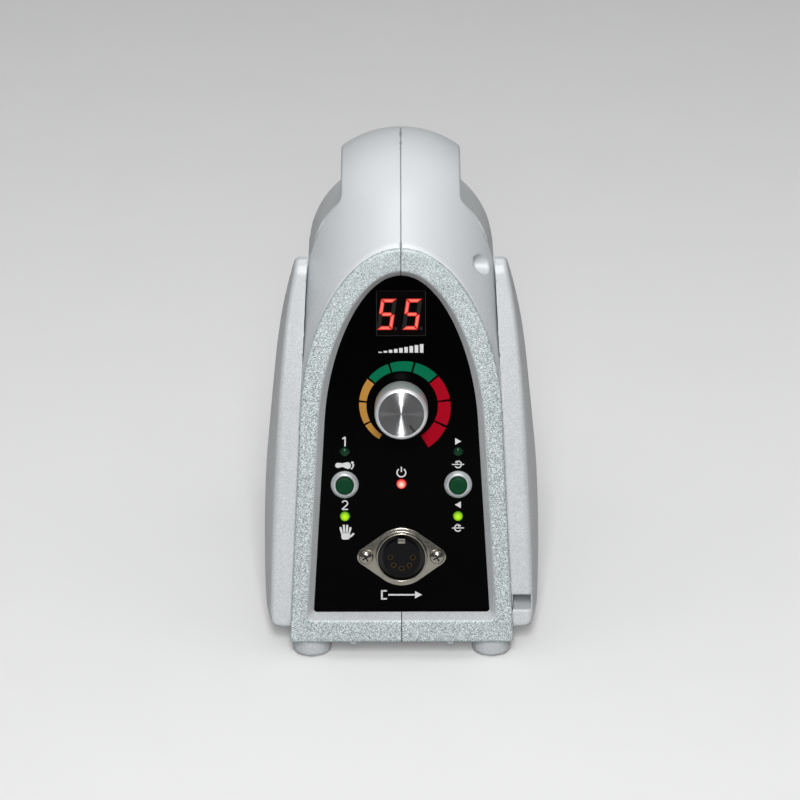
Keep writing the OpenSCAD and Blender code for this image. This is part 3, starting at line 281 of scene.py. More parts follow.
def spinOnPanel(name, u, v, profile, finishName, steps=64, **more):
    # (radius, height) pairs turned about the panel's normal; the last pair may be the pole
    profile = np.asarray(profile, float)
    turn = fullTurn(steps)
    ended = profile[-1, 0] == 0
    r, h = profile[:len(profile) - ended].T[:, :, None]
    points = aroundAxis(u, v, r, h, turn)
    faces = gridFaces(len(r), steps, True)[:, ::-1].tolist()
    glow = np.repeat(1 - r[:, 0] / r.max(), steps)
    if ended:
        last = len(points) - steps
        points = np.concatenate([points, onPanel(u, v, profile[-1, 1])[None]])
        glow = np.append(glow, 1)
        faces += [[last + (i + 1) % steps, len(points) - 1, last + i] for i in range(steps)]
    made = addPiece(name, points, faces, finishName, **more)
    sharpen(made, 40)
    if finishName.startswith("led"):
        setGlow(made, glow)


def turnsLeft(outline):  # whether an outline of (u, v) runs anticlockwise, by its area
    u, v = outline.T
    return np.sum(u * np.roll(v, -1) - np.roll(u, -1) * v) > 0


def flatOnPanel(name, outlines, finishName, height=0.03, bodyName="unit"):  # closed outlines as flat areas: printed ones, and painted shade in slots and gaps
    points, faces, start = [], [], 0
    for outline in outlines:
        outline = np.asarray(outline, float)
        outline = outline if turnsLeft(outline) else outline[::-1]
        points.append(onPanel(outline[:, 0], outline[:, 1], height))
        faces.append(list(range(start, start + len(outline))))
        start += len(outline)
    addPiece(name, np.concatenate(points), faces, finishName, bodyName, smooth=False)


def glowOnPanel(name, areas, finishName, height):  # pairs of outlines, brighter towards the inner one
    points, faces, glow = [], [], []
    for rim, core in areas:
        start, n = len(glow), len(rim)
        way = 1 if turnsLeft(rim) else -1
        points += [onPanel(*outline[::way].T, height) for outline in (rim, core)]
        faces += [[start + i, start + (i + 1) % n, start + n + (i + 1) % n, start + n + i] for i in range(n)]
        faces.append(list(range(start + n, start + 2 * n)))
        glow += [0.0] * n + [1.0] * n
    setGlow(addPiece(name, np.concatenate(points), faces, finishName, smooth=False), glow)


# fields: below zero inside, about the distance in millimetres outside
def roundMax(a, b, r):  # both at once, with the edge between them rounded by r
    return np.minimum(-r, np.maximum(a, b)) + np.hypot(np.maximum(a + r, 0), np.maximum(b + r, 0))


def roundMin(a, b, r):  # either, with the inner corner rounded by r
    return -roundMax(-a, -b, r)


def outlineField(p, q, corners):  # signed distance to a closed outline: nearest edge, sign by crossings
    corners = np.asarray(corners, float)
    best, inside = np.full(p.shape, 1e9), np.zeros(p.shape, bool)
    for (ap, aq), (bp, bq) in zip(corners, np.roll(corners, -1, 0)):
        ep, eq = bp - ap, bq - aq
        share = np.clip(((p - ap) * ep + (q - aq) * eq) / (ep * ep + eq * eq), 0, 1)
        best = np.minimum(best, (p - ap - share * ep) ** 2 + (q - aq - share * eq) ** 2)
        if aq != bq:
            inside ^= ((aq > q) != (bq > q)) & (p < ep * (q - aq) / eq + ap)
    return np.where(inside, -1, 1) * np.sqrt(best)


def roundCorners(corners, radii, steps=6):  # outline with circular corners
    corners, out = np.asarray(corners, float), []
    for i, r in enumerate(radii):
        p, a, b = corners[i], corners[i - 1], corners[(i + 1) % len(corners)]
        if r == 0:
            out.append(p[None])
            continue
        u, w = (a - p) / lengths(a - p), (b - p) / lengths(b - p)
        half = np.arccos(u @ w) / 2
        centre = p + (u + w) / lengths(u + w) * r / sin(half)
        s, e = p + u * r / tan(half) - centre, p + w * r / tan(half) - centre
        t = np.linspace(0, 1, steps + 1)[:, None]
        bend = (1 - t) * s + t * e
        out.append(centre + r * bend / lengths(bend))
    return np.concatenate(out)


def gridValues(field, axes):  # the field at every point of a grid
    grids = np.meshgrid(*axes, indexing="ij")
    return field(*[g.ravel() for g in grids]).reshape(grids[0].shape)


netting = {"slopeStep": 0.01, "hold": 0.06, "pull": 0.3}  # hold keeps points near their crossings


def netSurface(field, axes, value):
    # from the field's values on a grid: a cell that the zero level crosses gets the point that fits the
    # planes met on its edges best, and every crossed grid edge gets the quad of its four cells
    def slope(p):
        g = np.stack([field(*(p + o).T) - field(*(p - o).T) for o in np.eye(3) * netting["slopeStep"]], -1)
        return g / np.maximum(lengths(g), 1e-12)

    inside = value < 0
    cells = tuple(n - 1 for n in value.shape)
    unit = np.eye(3, dtype=int)
    edges = []
    for axis in range(3):
        low, high = [slice(None)] * 3, [slice(None)] * 3
        low[axis], high[axis] = slice(None, -1), slice(1, None)
        at = np.argwhere(inside[tuple(low)] != inside[tuple(high)])
        p, q = (axis + 1) % 3, (axis + 2) % 3
        at = at[np.all([(at[:, o] > 0) & (at[:, o] < value.shape[o] - 1) for o in (p, q)], axis=0)]
        far = at + unit[axis]
        va, vb = value[tuple(at.T)], value[tuple(far.T)]
        place = np.stack([axes[d][at[:, d]] for d in range(3)], -1).astype(float)
        place[:, axis] += (axes[axis][far[:, axis]] - axes[axis][at[:, axis]]) * va / (va - vb)
        around = [at - da * unit[p] - db * unit[q] for da, db in ((1, 1), (0, 1), (0, 0), (1, 0))]
        edges.append((place, around, va < 0))
    used = np.unique(np.concatenate([np.ravel_multi_index(tuple(c.T), cells)
                                     for _, around, _ in edges for c in around]))
    index = np.full(cells, -1)
    index.ravel()[used] = np.arange(len(used))
    linked = [[index[tuple(c.T)] for c in around] for _, around, _ in edges]
    ids = np.concatenate([i for four in linked for i in four])
    places = np.concatenate([np.tile(place, (4, 1)) for place, _, _ in edges])
    normals = np.concatenate([np.tile(slope(place), (4, 1)) for place, _, _ in edges])

    def gathered(weights=None):  # sum over the crossings of each cell
        return np.bincount(ids, weights, len(used))

    mean = np.stack([gathered(p) for p in places.T], -1) / gathered()[:, None]
    off = np.sum(normals * (places - mean[ids]), -1)
    right = np.stack([gathered(a * off) for a in normals.T], -1)
    square = np.array([[gathered(a * b) for b in normals.T] for a in normals.T]).transpose(2, 0, 1)
    square = square + np.eye(3) * netting["hold"]
    points = mean + np.linalg.solve(square, right[:, :, None])[:, :, 0]
    where = np.stack(np.unravel_index(used, cells), -1)
    for d in range(3):
        points[:, d] = np.clip(points[:, d], axes[d][where[:, d]], axes[d][where[:, d] + 1])
    quads = np.concatenate([np.where(out[:, None], np.stack(four, -1), np.stack(four[::-1], -1))
                            for four, (_, _, out) in zip(linked, edges)])
    middle = points[quads].mean(1, keepdims=True)
    corners = points[quads] * (1 - netting["pull"]) + middle * netting["pull"]  # off sharp edges
    return points, quads, slope(corners.reshape(-1, 3))


def mirrored(points, quads, normals):  # the same surface on the other side of the seam
    flip = np.array([-1.0, 1, 1])
    return points * flip, quads[:, ::-1], (normals.reshape(-1, 4, 3)[:, ::-1] * flip).reshape(-1, 3)


def addNet(name, net, node):
    addPiece(name, net[0], net[1], "silver", stands=[node], slotName="silver_shell", normals=net[2])


# housing halves: drafted sides, round top, hood and handle cut by one crown section that follows a bent path
shell = {"step": 0.74, "near": [0.0, 0.1, 0.2, 0.35, 0.6], "handleRoot": 8, "handleFillet": 1.2,
         "crownEdge": 0.7, "gapEdge": 1.3, "frontEdge": 1.0, "rearEdge": 1.5, "baseEdge": 0.8,
         "footAt": (28.3, 7.5), "footR": 6.1, "footLow": 0.5, "footTop": 8, "footEdge": 0.6,
         "footFillet": 0.4, "mouthDepth": 6.5, "rearHalf": (16, 23.25), "rearMid": 48.25, "rearR": 4,
         "rearDepth": 7.2, "windowEdge": 0.6, "wellR": 3.1, "wellFloor": 8, "wellEdge": 0.25,
         "hoodWell": (9.3, -9.2), "postWell": (5, 17.2), "gridX": (1.0, 36.0), "gridZ": (-0.3, 155.0),
         "margin": (1.0, 1.3)}
rise, fall = radians(body["hoodRise"]), radians(body["fall"])
cutAngle = radians(90 - body["lean"] - body["hoodRise"])
crownB = body["archH"] * sin(cutAngle)
apex = np.array([frontY + body["bezelH"] * leanS, body["footH"] + body["bezelH"] * leanC])
crest = apex + body["hoodRun"] * heading(rise) + body["crestR"] * heading(rise - pi / 2)
hoodY = frontY + body["hoodBack"]
postBack = rearY - body["postSet"]
postFront = postBack - body["postD"]
underR = body["crestR"] - body["handleT"]
domeR = (body["baseHalf"] - sideSlope * (body["domeAxis"] - body["footH"])) * draftC
wells = [apex + shell["hoodWell"], np.array([postFront, body["gapFloor"]]) + shell["postWell"]]


def crestAt(angle, r):  # point on a circle about the hood's centre
    return crest + r * heading(angle)


fallStart, riseEnd = crestAt(pi / 2 - fall, underR), crestAt(pi / 2 + rise, underR)
underside = [list(crestAt(a, underR)) for a in np.linspace(pi / 2 - fall, pi / 2 + rise, 25)]
gapOutline = roundCorners(
    [[hoodY, body["gapFloor"]], [postFront, body["gapFloor"]],
     [postFront, fallStart[1] - (postFront - fallStart[0]) * tan(fall)]]
    + underside + [[hoodY, riseEnd[1] - (riseEnd[0] - hoodY) * tan(rise)]],
    [body["gapR"]] * 3 + [0] * (len(underside) + 1))


def archOutline(half, taper, arch, height, lift, corner=0, count=(40, 40, 24)):
    # right half of an arch from its top to the middle of its foot: rounded top, straight side, rounded
    # corner, then the foot
    f = np.linspace(0, pi / 2, count[0] + 1)
    s = arch * (1 - np.cos(f))
    top = np.stack([(half + taper * s) * np.sin(f), height - s], -1)
    foot = np.array([half + taper * height, 0.0])
    bend = roundCorners([top[-1], foot, [0, 0]], [0, corner, 0], 8)[1:-1] if corner else foot[None]
    t = np.linspace(0, 1, count[1] + 1)[1:, None]
    side = top[-1] * (1 - t) + bend[0] * t
    t = np.linspace(0, 1, count[2] + 1)[1:, None]
    return np.concatenate([top, side, bend[1:], bend[-1] * (1 - t)]) + [0, lift]


def mouthOutline(*more):  # the window widened by its sloping rim
    return archOutline(body["windowHalf"] + body["rimRun"], windowTaper, body["windowArch"] + body["rimRun"],
                       body["windowH"] + 2 * body["rimRun"], body["windowLift"] - body["rimRun"], *more)


coarse = mouthOutline(0, (10, 1, 1))
mouthLoop = np.concatenate([coarse, coarse[-2:0:-1] * [-1, 1]])


def crownField(x, y, z):  # height over the crown section: half an arch, tipped over by the hood's slope
    dy, dz = y - crest[0], z - crest[1]
    before, after = dy * cos(rise) + dz * sin(rise), dy * cos(fall) - dz * sin(fall)
    behind = np.where(after > 0, dz * cos(fall) + dy * sin(fall), np.hypot(dy, dz))
    h = np.where(before < 0, dz * cos(rise) - dy * sin(rise), behind) - body["crestR"]
    s = np.clip(-h / sin(cutAngle), 0, body["archH"])
    w = bezelHalf + bezelTaper * s
    c = np.maximum(1 + h / crownB, 0.0)
    q = np.maximum(np.hypot(x / w, c), 1e-6)
    gx, gh = x / w ** 2 / q, (c / crownB + x ** 2 / w ** 3 * bezelTaper / sin(cutAngle)) / q
    return (q - 1) / np.maximum(np.hypot(gx, gh), 1e-6), h


def housingField(x, y, z):  # right half, from the seam outwards
    across = np.abs(x)
    side = (across - body["baseHalf"] + sideSlope * (z - body["footH"])) * draftC
    turned = body["domeAxis"] + domeR * draftS
    tunnel = np.where(z > turned, np.hypot(x, z - body["domeAxis"]) - domeR, side)
    pillar = np.maximum(side, y - hoodY)
    root = body["gapFloor"] - shell["handleRoot"]
    handle = np.maximum(np.maximum(across - body["handleHalf"], y - postBack), root - z)
    form = roundMin(np.minimum(tunnel, pillar), handle, shell["handleFillet"])
    crown, h = crownField(x, y, z)
    form = roundMax(form, np.minimum(crown + body["bezelStep"], h + crownB), shell["crownEdge"])
    form = roundMax(form, -outlineField(y, z, gapOutline), shell["gapEdge"])
    n = -(y - frontY) * leanC + (z - body["footH"]) * leanS
    v = (y - frontY) * leanS + (z - body["footH"]) * leanC
    form = roundMax(form, n + body["ringBack"], shell["frontEdge"])
    form = roundMax(form, y - rearY, shell["rearEdge"])
    form = roundMax(form, body["footH"] - z, shell["baseEdge"])
    footX, footSet = shell["footAt"]
    feet = np.hypot(across - footX, np.abs(y) - rearY + footSet) - shell["footR"]
    feet = roundMax(feet, shell["footLow"] - z, shell["footEdge"])
    form = roundMin(form, np.maximum(feet, z - shell["footTop"]), shell["footFillet"])
    form = np.maximum(form, -np.maximum(outlineField(across, v, mouthLoop), -n - shell["mouthDepth"]))
    halfX, halfZ = shell["rearHalf"]
    beside, above = np.maximum(across - halfX, 0), np.maximum(np.abs(z - shell["rearMid"]) - halfZ, 0)
    rearWindow = np.maximum(np.hypot(beside, above) - shell["rearR"], rearY - shell["rearDepth"] - y)
    return np.maximum(roundMax(form, -rearWindow, shell["windowEdge"]), body["seam"] - x)


def drilled(form, x, y, z):  # the right half has screw wells from its outer side
    for wy, wz in wells:
        well = np.maximum(np.hypot(y - wy, z - wz) - shell["wellR"], shell["wellFloor"] - x)
        form = roundMax(form, -well, shell["wellEdge"])
    return form


def drilledField(x, y, z):
    return drilled(housingField(x, y, z), x, y, z)


# the step keeps each half under 200,000 triangles
shellAxes = [np.concatenate([shell["near"], np.arange(*shell["gridX"], shell["step"])]),
             np.arange(frontY - shell["margin"][0], rearY + shell["margin"][1], shell["step"]),
             np.arange(*shell["gridZ"], shell["step"])]
plain = gridValues(housingField, shellAxes)
addNet("leftShell", mirrored(*netSurface(housingField, shellAxes, plain)), "left_housing")
plain = drilled(plain, *np.meshgrid(*shellAxes, indexing="ij"))
net = netSurface(drilledField, shellAxes, plain)
addNet("rightShell", net, "right_housing")
print("shells made,", len(net[1]) * 2, "triangles each")

# bezel: a ring from the arch's outer edge to the window's floor; its section is carried along the arch
bezel = {"outerR": 1.1, "mouthR": 0.7, "skirt": 3.0, "lip": 1.2, "proud": 0.05, "under": 1.08, "steps": 9,
         "corners": (1.2, 2.2, 1.0), "sharp": 40}
outer = archOutline(bezelHalf + bezel["proud"], bezelTaper, body["archH"], body["bezelH"], 0,
                    bezel["corners"][0])
mouth = mouthOutline(bezel["corners"][1])
floorLine = archOutline(body["windowHalf"], windowTaper, body["windowArch"], body["windowH"],
                        body["windowLift"], bezel["corners"][2])


def bezelHalfRing():  # rows from the skirt over the outer edge and the mouth's edge to the window's floor
    inward = (mouth - outer) / lengths(mouth - outer)
    slide = floorLine - mouth
    t = np.linspace(0, 1, bezel["steps"])[:, None, None]

    def bend(a, b, c):  # quadratic curve from a to c that turns at b
        return (1 - t) ** 2 * a + 2 * t * (1 - t) * b + t ** 2 * c

    def lift(p, n):
        return np.concatenate([p, np.full((len(p), 1), n)], 1)

    edge, skirt = bezel["outerR"], -bezel["skirt"]
    share = bezel["mouthR"] / np.hypot(lengths(slide), body["recess"])
    top, down = lift(mouth, 0), lift(slide, -body["recess"])
    first = bend(lift(outer, -edge), lift(outer, 0), lift(outer + inward * edge, 0))
    flat = lift(outer * 0.5 + mouth * 0.5, 0)
    second = bend(lift(mouth - inward * bezel["mouthR"], 0), top, top + down * share)
    rows = np.concatenate([lift(outer + inward * bezel["lip"], skirt)[None], lift(outer, skirt)[None], first,
                           flat[None], second, (top + down)[None], (top + down * bezel["under"])[None]])
    rows[:, :, 0] = np.maximum(rows[:, :, 0], body["seam"])
    return onBezel(rows[:, :, 0], rows[:, :, 1], rows[:, :, 2])


rows = bezelHalfRing()
inner = bezel["steps"] // 2 + 3  # rows from the middle of the mouth's rounding to under the window's floor
# the bezel ring takes the darker copy of the silver paint and its recess the lighter one: painted shade
for piece, finishName, part in (("Bezel", "shadedFlake", rows[:1 - inner]), ("Recess", "silver", rows[-inner:])):
    faces = gridFaces(*part.shape[:2])
    for side, flip in (("right", 1), ("left", -1)):
        made = addPiece(side + piece, part.reshape(-1, 3) * [flip, 1, 1], faces[:, ::-flip], finishName,
                        slotName="silver_shell")
        sharpen(made, bezel["sharp"])
print("bezel made")

# seam: a ribbon deep in the joint standing for the gap's shade, painted shade grey over the hood and dark
# elsewhere
seam = {"half": 0.14, "deep": 0.45, "steps": 40, "window": (20.7, 75.8), "clear": 0.3, "low": 0.2,
        "frontSet": 3}
deep = seam["deep"]
bow = [crestAt(a, body["crestR"] - body["bezelStep"] - deep)
       for a in np.linspace(pi / 2 + rise, pi / 2 - fall, seam["steps"])]
start = bow[0] - body["hoodRun"] * heading(rise)
above = body["windowLift"] + body["windowH"] + body["rimRun"] + seam["clear"]
below = body["windowLift"] - body["rimRun"] - seam["clear"]
arch, foot = [[onBezel(0, v, -deep)[1:] for v in ends]
              for ends in ((above, body["bezelH"]), (seam["low"], below))]
domeTop = body["domeAxis"] + domeR - deep
postY, backY, baseZ = postBack - deep, rearY - deep, body["footH"] + deep
rear = [bow[-1], [postY, bow[-1][1] - (postY - bow[-1][0]) * tan(fall)], [postY, domeTop], [backY, domeTop],
        [backY, seam["window"][1]]]
base = [[backY, seam["window"][0]], [backY, baseZ], [frontY + seam["frontSet"], baseZ]]
for name, path in (("hoodSeam", [start] + bow), ("rearSeam", rear), ("baseSeam", base), ("archSeam", arch),
                   ("footSeam", foot)):
    addPiece(name, ribbon(path, seam["half"]), gridFaces(len(path), 2)[:, ::-1],
             "seamShade" if name == "hoodSeam" else "paintedShade")

# nubs under the front edge: boxes with their lower rim drawn in
nub = {"size": (1.7, 2.0, 1.3), "set": 1.2, "at": (15.2, 30.3, -15.2, -30.3), "rim": 0.3, "sunk": 0.2}
wide, deep, high = nub["size"]
points, faces = [], []
for u in nub["at"]:
    for level, inset in ((nub["sunk"], 0), (nub["rim"] - high, 0), (-high, nub["rim"])):
        a, b = wide / 2 - inset, deep / 2 - inset
        points += [[u + p * a, frontY + nub["set"] + deep / 2 + q * b, body["footH"] + level]
                   for p, q in ((-1, -1), (-1, 1), (1, 1), (1, -1))]
    start = len(points) - 12
    faces += [[k + i, k + (i + 1) % 4, k + 4 + (i + 1) % 4, k + 4 + i] for k in (start, start + 4)
              for i in range(4)]
    faces += [[start + 8, start + 9, start + 10, start + 11]]
addPiece("frontNubs", points, [f[::-1] for f in faces], "silver", slotName="silver_shell", smooth=False)

# side covers: a rounded plate on the drafted side, its outer face part of a large ball, with a round dish
cover = {"set": 8, "h": 124, "rearH": 80, "shoulder": 62, "rearSet": 10, "wide": 87.6, "domeR": 460,
         "edge": 6.8, "chamfer": 18, "dishR": 16, "dishD": 2.3, "dishAt": (46, 68.5), "domeAt": (45, 22),
         "dishEdge": 1.0, "round": 1.5, "frontRound": 2.4, "footRound": 4.5, "corners": [2, 4.9, 14, 14, 8],
         "gap": 0.05, "slotAt": (37.9, 15), "slotHalf": (2.8, 2.4), "slotEnd": 20, "slotEdge": 0.5,
         "step": 0.65, "gridX": (26.5, 44.9, 0.6), "gridZ": (4.5, 132.0), "margin": (6.0, 8.0)}
topY = cover["set"] + cover["h"] * tan(radians(body["lean"]))
coverBack = rearY - cover["rearSet"]
coverOutline = roundCorners(
    [[cover["set"] + frontY, 0.0], [topY + frontY, cover["h"]], [cover["shoulder"] + frontY, cover["rearH"]],
     [coverBack, cover["rearH"]], [coverBack, 0.0]], cover["corners"], 8)


def coverField(x, y, z):  # ball, front chamfer and outline at once, less the dish's ball
    dx, dy, dz = x - body["baseHalf"], y - frontY, z - body["footH"]
    out, up = dx * draftC + dz * draftS, dz * draftC - dx * draftS
    (domeY, domeZ), (dishY, dishZ), reach = cover["domeAt"], cover["dishAt"], x - cover["wide"] / 2
    ball = np.sqrt((reach + cover["domeR"]) ** 2 + (dy - domeY) ** 2 + (z - domeZ) ** 2) - cover["domeR"]
    a = radians(cover["chamfer"])
    front = (out - cover["edge"]) * cos(a) - sin(a) * ((dy - cover["set"]) * leanC - up * leanS)
    ball = roundMax(ball, -up, cover["footRound"])
    form = roundMax(ball, front, cover["frontRound"])
    form = roundMax(form, outlineField(y, up, coverOutline), cover["round"])
    form = np.maximum(form, cover["gap"] - out)
    apart = (dishY - domeY) ** 2 + (dishZ + body["footH"] - domeZ) ** 2
    drop = cover["domeR"] - sqrt(cover["domeR"] ** 2 - apart)
    dishR = (cover["dishR"] ** 2 + cover["dishD"] ** 2) / (2 * cover["dishD"])
    away = np.sqrt((reach - dishR + cover["dishD"] + drop) ** 2 + (dy - dishY) ** 2 + (dz - dishZ) ** 2)
    return roundMax(form, dishR - away, cover["dishEdge"])


def slottedField(x, y, z):  # the right cover has a hook slot in its front edge
    (slotX, slotZ), (halfX, halfZ) = cover["slotAt"], cover["slotHalf"]
    slot = np.maximum(np.abs(x - slotX) - halfX, np.abs(z - slotZ) - halfZ)
    slot = np.maximum(slot, y - frontY - cover["slotEnd"])
    return roundMax(coverField(x, y, z), -slot, cover["slotEdge"])


coverAxes = [np.arange(*cover["gridX"]),
             np.arange(frontY + cover["margin"][0], rearY - cover["margin"][1], cover["step"]),
             np.arange(*cover["gridZ"], cover["step"])]
addNet("rightCover", netSurface(slottedField, coverAxes, gridValues(slottedField, coverAxes)),
       "right_side_cover")
net = mirrored(*netSurface(coverField, coverAxes, gridValues(coverField, coverAxes)))
addNet("leftCover", net, "left_side_cover")
print("side covers made,", len(net[1]) * 2, "triangles each")

# speed knob: satin side with a rounded rim, and a face turned with fine rings
knob = {"v": 66.6, "r": 8.25, "base": 0.6, "top": 11.2, "chamfer": 1.2, "bore": 5.8, "neck": 0.2,
        "neckH": 1.1, "soft": 0.15, "lip": 0.1, "faceDrop": 0.06, "ringPitch": 0.22, "ringDepth": 0.048,
        "samples": 8, "slotAt": -54, "slotRun": (4.4, 6.9), "slotHalf": 0.3, "slotLift": 0.02, "steps": 128}
base, neckR, lip = knob["base"], knob["r"] - knob["neck"], knob["lip"]
rimH = knob["top"] - knob["chamfer"] - lip
r = np.arange(knob["r"] - knob["chamfer"], knob["ringPitch"] / 2, -knob["ringPitch"] / knob["samples"])
side = [[knob["bore"], base + lip], [neckR - knob["soft"], base], [neckR, base + knob["soft"]],
        [neckR, base + knob["neckH"]], [knob["r"], base + knob["neckH"] + knob["neck"]], [knob["r"], rimH]]
rim = [[r[0] + lip + (knob["chamfer"] - knob["soft"]) * cos(t), rimH + (knob["chamfer"] + lip / 2) * sin(t)]
       for t in np.radians([10, 25, 40, 55, 70])]
spinOnPanel("knobSide", 0, knob["v"], side + rim + [[r[0], knob["top"] - knob["faceDrop"]]], "brushed",
            knob["steps"], bodyName="knob", slotName="knob_aluminium")
turned = np.stack([r, knob["top"] - knob["ringDepth"] * (1 - np.cos(2 * pi * r / knob["ringPitch"])) / 2], -1)
spinOnPanel("speedKnob", 0, knob["v"], np.concatenate([turned, [[0, knob["top"]]]]), "aluminium",
            knob["steps"], bodyName="knob", stands=["speed_knob"], slotName="knob_aluminium")
a = radians(knob["slotAt"])
along, beside = heading(a), heading(a + pi / 2)
(near, far), half = knob["slotRun"], knob["slotHalf"]
slot = [np.array([0, knob["v"]]) + along * p + beside * q
        for p, q in ((near, -half), (far, -half), (far, half), (near, half))]
# the pointer slot is not cut: a flat dark strip on the face stands for its shade, painted shade
flatOnPanel("knobSlotShade", [slot], "paintedShade", knob["top"] + knob["slotLift"], "knob")

# printed dial: nine segments whose outer radius grows clockwise
dial = {"u": 0.3, "inner": 11.1, "outerAt": (12.8, 15.6), "gap": 2.8,
        "bounds": [237, 207, 173.5, 140, 107, 74, 41, 7, -26, -60]}


def dialSegment(i):  # between two bounds, less the gap; the outer radius grows evenly with the angle
    high, low = dial["bounds"][i] - dial["gap"] / 2, dial["bounds"][i + 1] + dial["gap"] / 2
    t = np.radians(np.linspace(high, low, 25))
    share = (dial["bounds"][0] - np.degrees(t)) / (dial["bounds"][0] - dial["bounds"][-1])
    outerR = dial["outerAt"][0] + share * (dial["outerAt"][1] - dial["outerAt"][0])
    way = np.stack([np.cos(t), np.sin(t)], -1)
    return np.concatenate([way * outerR[:, None], way[::-1] * dial["inner"]]) + [dial["u"], knob["v"]]


for colour, first in (("orange", 0), ("green", 3), ("red", 6)):
    flatOnPanel("dial" + colour.capitalize(), [dialSegment(i) for i in range(first, first + 3)], colour)

# display: slanted seven-segment digits
digits = {"u": -0.5, "v": 95.6, "pitch": 7.8, "h": 9.8, "w": 4.9, "bar": 1.2, "core": 0.42, "slant": 8.5,
          "gap": 0.09, "height": -0.2, "dotAt": (2.7, -4.5), "dotR": 0.55}


def digitSegments(centre, inset=0.0):  # mitred bars; inset shrinks every one by that much all round
    w, h, t, g = digits["w"] / 2, digits["h"] / 2, digits["bar"], digits["gap"]
    # how far corners of 45, 90 and 135 degrees move along an edge
    sharp, right, blunt = [inset / tan(radians(corner / 2)) for corner in (45, 90, 135)]
    right *= sqrt(2)  # this one moves along the bar's middle line
    top = np.array([[-w + g + sharp, h - inset], [-w + t + g + blunt, h - t + inset],
                    [w - t - g - blunt, h - t + inset], [w - g - sharp, h - inset]])
    side = np.array([[-w + inset, h - g - sharp], [-w + inset, g + inset], [-w + t / 2 - blunt, g + inset],
                     [-w + t - inset, t / 2 + g + blunt], [-w + t - inset, h - t - g - blunt]])
    long, short, thick = w - t / 2 - g - right, w - t - g - blunt, t / 2 - inset
    middle = np.array([[-long, 0], [-short, -thick], [short, -thick], [long, 0], [short, thick],
                       [-short, thick]])
    shapes = {"a": top, "b": side * [-1, 1], "c": side * [-1, -1], "d": top * [1, -1], "e": side * [1, -1],
              "f": side, "g": middle}
    lean = tan(radians(digits["slant"]))
    return {k: s @ [[1, 0], [lean, 1]] + [centre, digits["v"]] for k, s in shapes.items()}


def arc(u, v, r, start, end, steps=24):  # points of a circle between two angles in degrees
    t = np.radians(np.linspace(start, end, steps))
    return np.stack([u + r * np.cos(t), v + r * np.sin(t)], -1)


def disc(u, v, r, steps=20):
    return arc(u, v, r, 0, 360, steps + 1)[:-1]


places = [digits["u"] + s * digits["pitch"] / 2 for s in (-1, 1)]
bars, cores = [[digitSegments(u, inset) for u in places] for inset in (0.0, digits["core"])]
litBars = [(bar[k], core[k]) for bar, core in zip(bars, cores) for k in "afgcd"]
glowOnPanel("digitsLit", litBars, "segmentOn", digits["height"])
dots = [disc(u + digits["dotAt"][0], digits["v"] + digits["dotAt"][1], digits["dotR"]) for u in places]
flatOnPanel("digitsDark", [bar[k] for bar in bars for k in "be"] + dots, "segmentOff", digits["height"])
display = {"v": 95.9, "half": (7.45, 6.95), "reach": 0.25, "height": -0.3}  # dark strips round it, painted shade in the gap round the display


def box(u0, v0, u1, v1):
    return np.array([[u0, v0], [u1, v0], [u1, v1], [u0, v1]])


(p, q), g = display["half"], display["reach"]
strips = [box(-p - g, -q - g, -p, q + g), box(p, -q - g, p + g, q + g), box(-p, -q - g, p, -q),
          box(-p, q, p, q + g)]
flatOnPanel("displayGapShade", [strip + [0, display["v"]] for strip in strips], "paintedShade", display["height"])


# signs: plain marks drawn as strokes of even width
def stroke(path, width=0.42):  # ribbon of even width along a path of (u, v)
    path = np.asarray(path, float)
    way = np.gradient(path, axis=0)
    side = np.stack([-way[:, 1], way[:, 0]], -1) / lengths(way) * width / 2
    return np.concatenate([path + side, (path - side)[::-1]])


def turnSign(flip):
    tip = np.array([[-0.55, 0.85], [0.45, 1.25], [-0.35, 0.1]]) * [flip, 1]
    return [stroke(arc(0, 0, 0.95, 35, 325) * [-flip, 1], 0.34), tip, stroke([[-1.7, 0], [1.7, 0]], 0.3)]


numeralOne = [stroke([[-0.55, 0.75], [0.15, 1.3]], 0.36), stroke([[0.15, -1.3], [0.15, 1.3]], 0.4)]
numeralTwo = [stroke(np.concatenate([arc(0, 0.55, 0.72, 165, -35, 14), [[-0.8, -1.12]]]), 0.38),
              stroke([[-0.86, -1.14], [0.86, -1.14]], 0.36)]
forward = np.array([[-0.9, -1.1], [1.0, 0], [-0.9, 1.1]])
power = [stroke(arc(0, 0, 1.35, 125, 415, 40)), stroke([[0, 0.2], [0, 1.9]])]
ramp = [box(-7 + i * 1.6, -1.4, -5.9 + i * 1.6, -1.1 + i * 0.3) for i in range(9)]
outArrow = [stroke([[-4.6, 1.3], [-6.2, 1.3]], 0.5), stroke([[-6.2, -1.3], [-4.6, -1.3]], 0.5),
            stroke([[-6.2, -1.55], [-6.2, 1.55]], 0.5), stroke([[-4.2, 0], [4.4, 0]], 0.5),
            np.array([[4.2, -1.2], [6.4, 0], [4.2, 1.2]])]
sole = [np.concatenate([arc(-1.65, 0, 0.68, 80, 280, 12), [[-0.4, -0.42]], arc(0.8, -0.1, 0.95, -80, 85, 14),
                        [[-0.4, 0.55]]])]
toes = ((2.15, 0.72, 0.36), (2.35, 0.1, 0.28), (2.25, -0.42, 0.25), (1.95, -0.88, 0.23))
sole += [disc(u, v, r, 12) for u, v, r in toes]
hand = [roundCorners([[-0.95, -1.75], [0.95, -1.75], [1.1, 0.1], [-1.05, 0.1]], [0.5, 0.5, 0.2, 0.2])]
hand += [stroke([[0.72 * u, -0.2], [1.02 * u, tip]], 0.5)
         for u, tip in ((-1.2, 1.35), (-0.4, 1.95), (0.4, 1.9), (1.2, 1.3))]
hand += [stroke([[0.7, -1.3], [1.5, -0.75], [2.0, -0.2]], 0.5)]
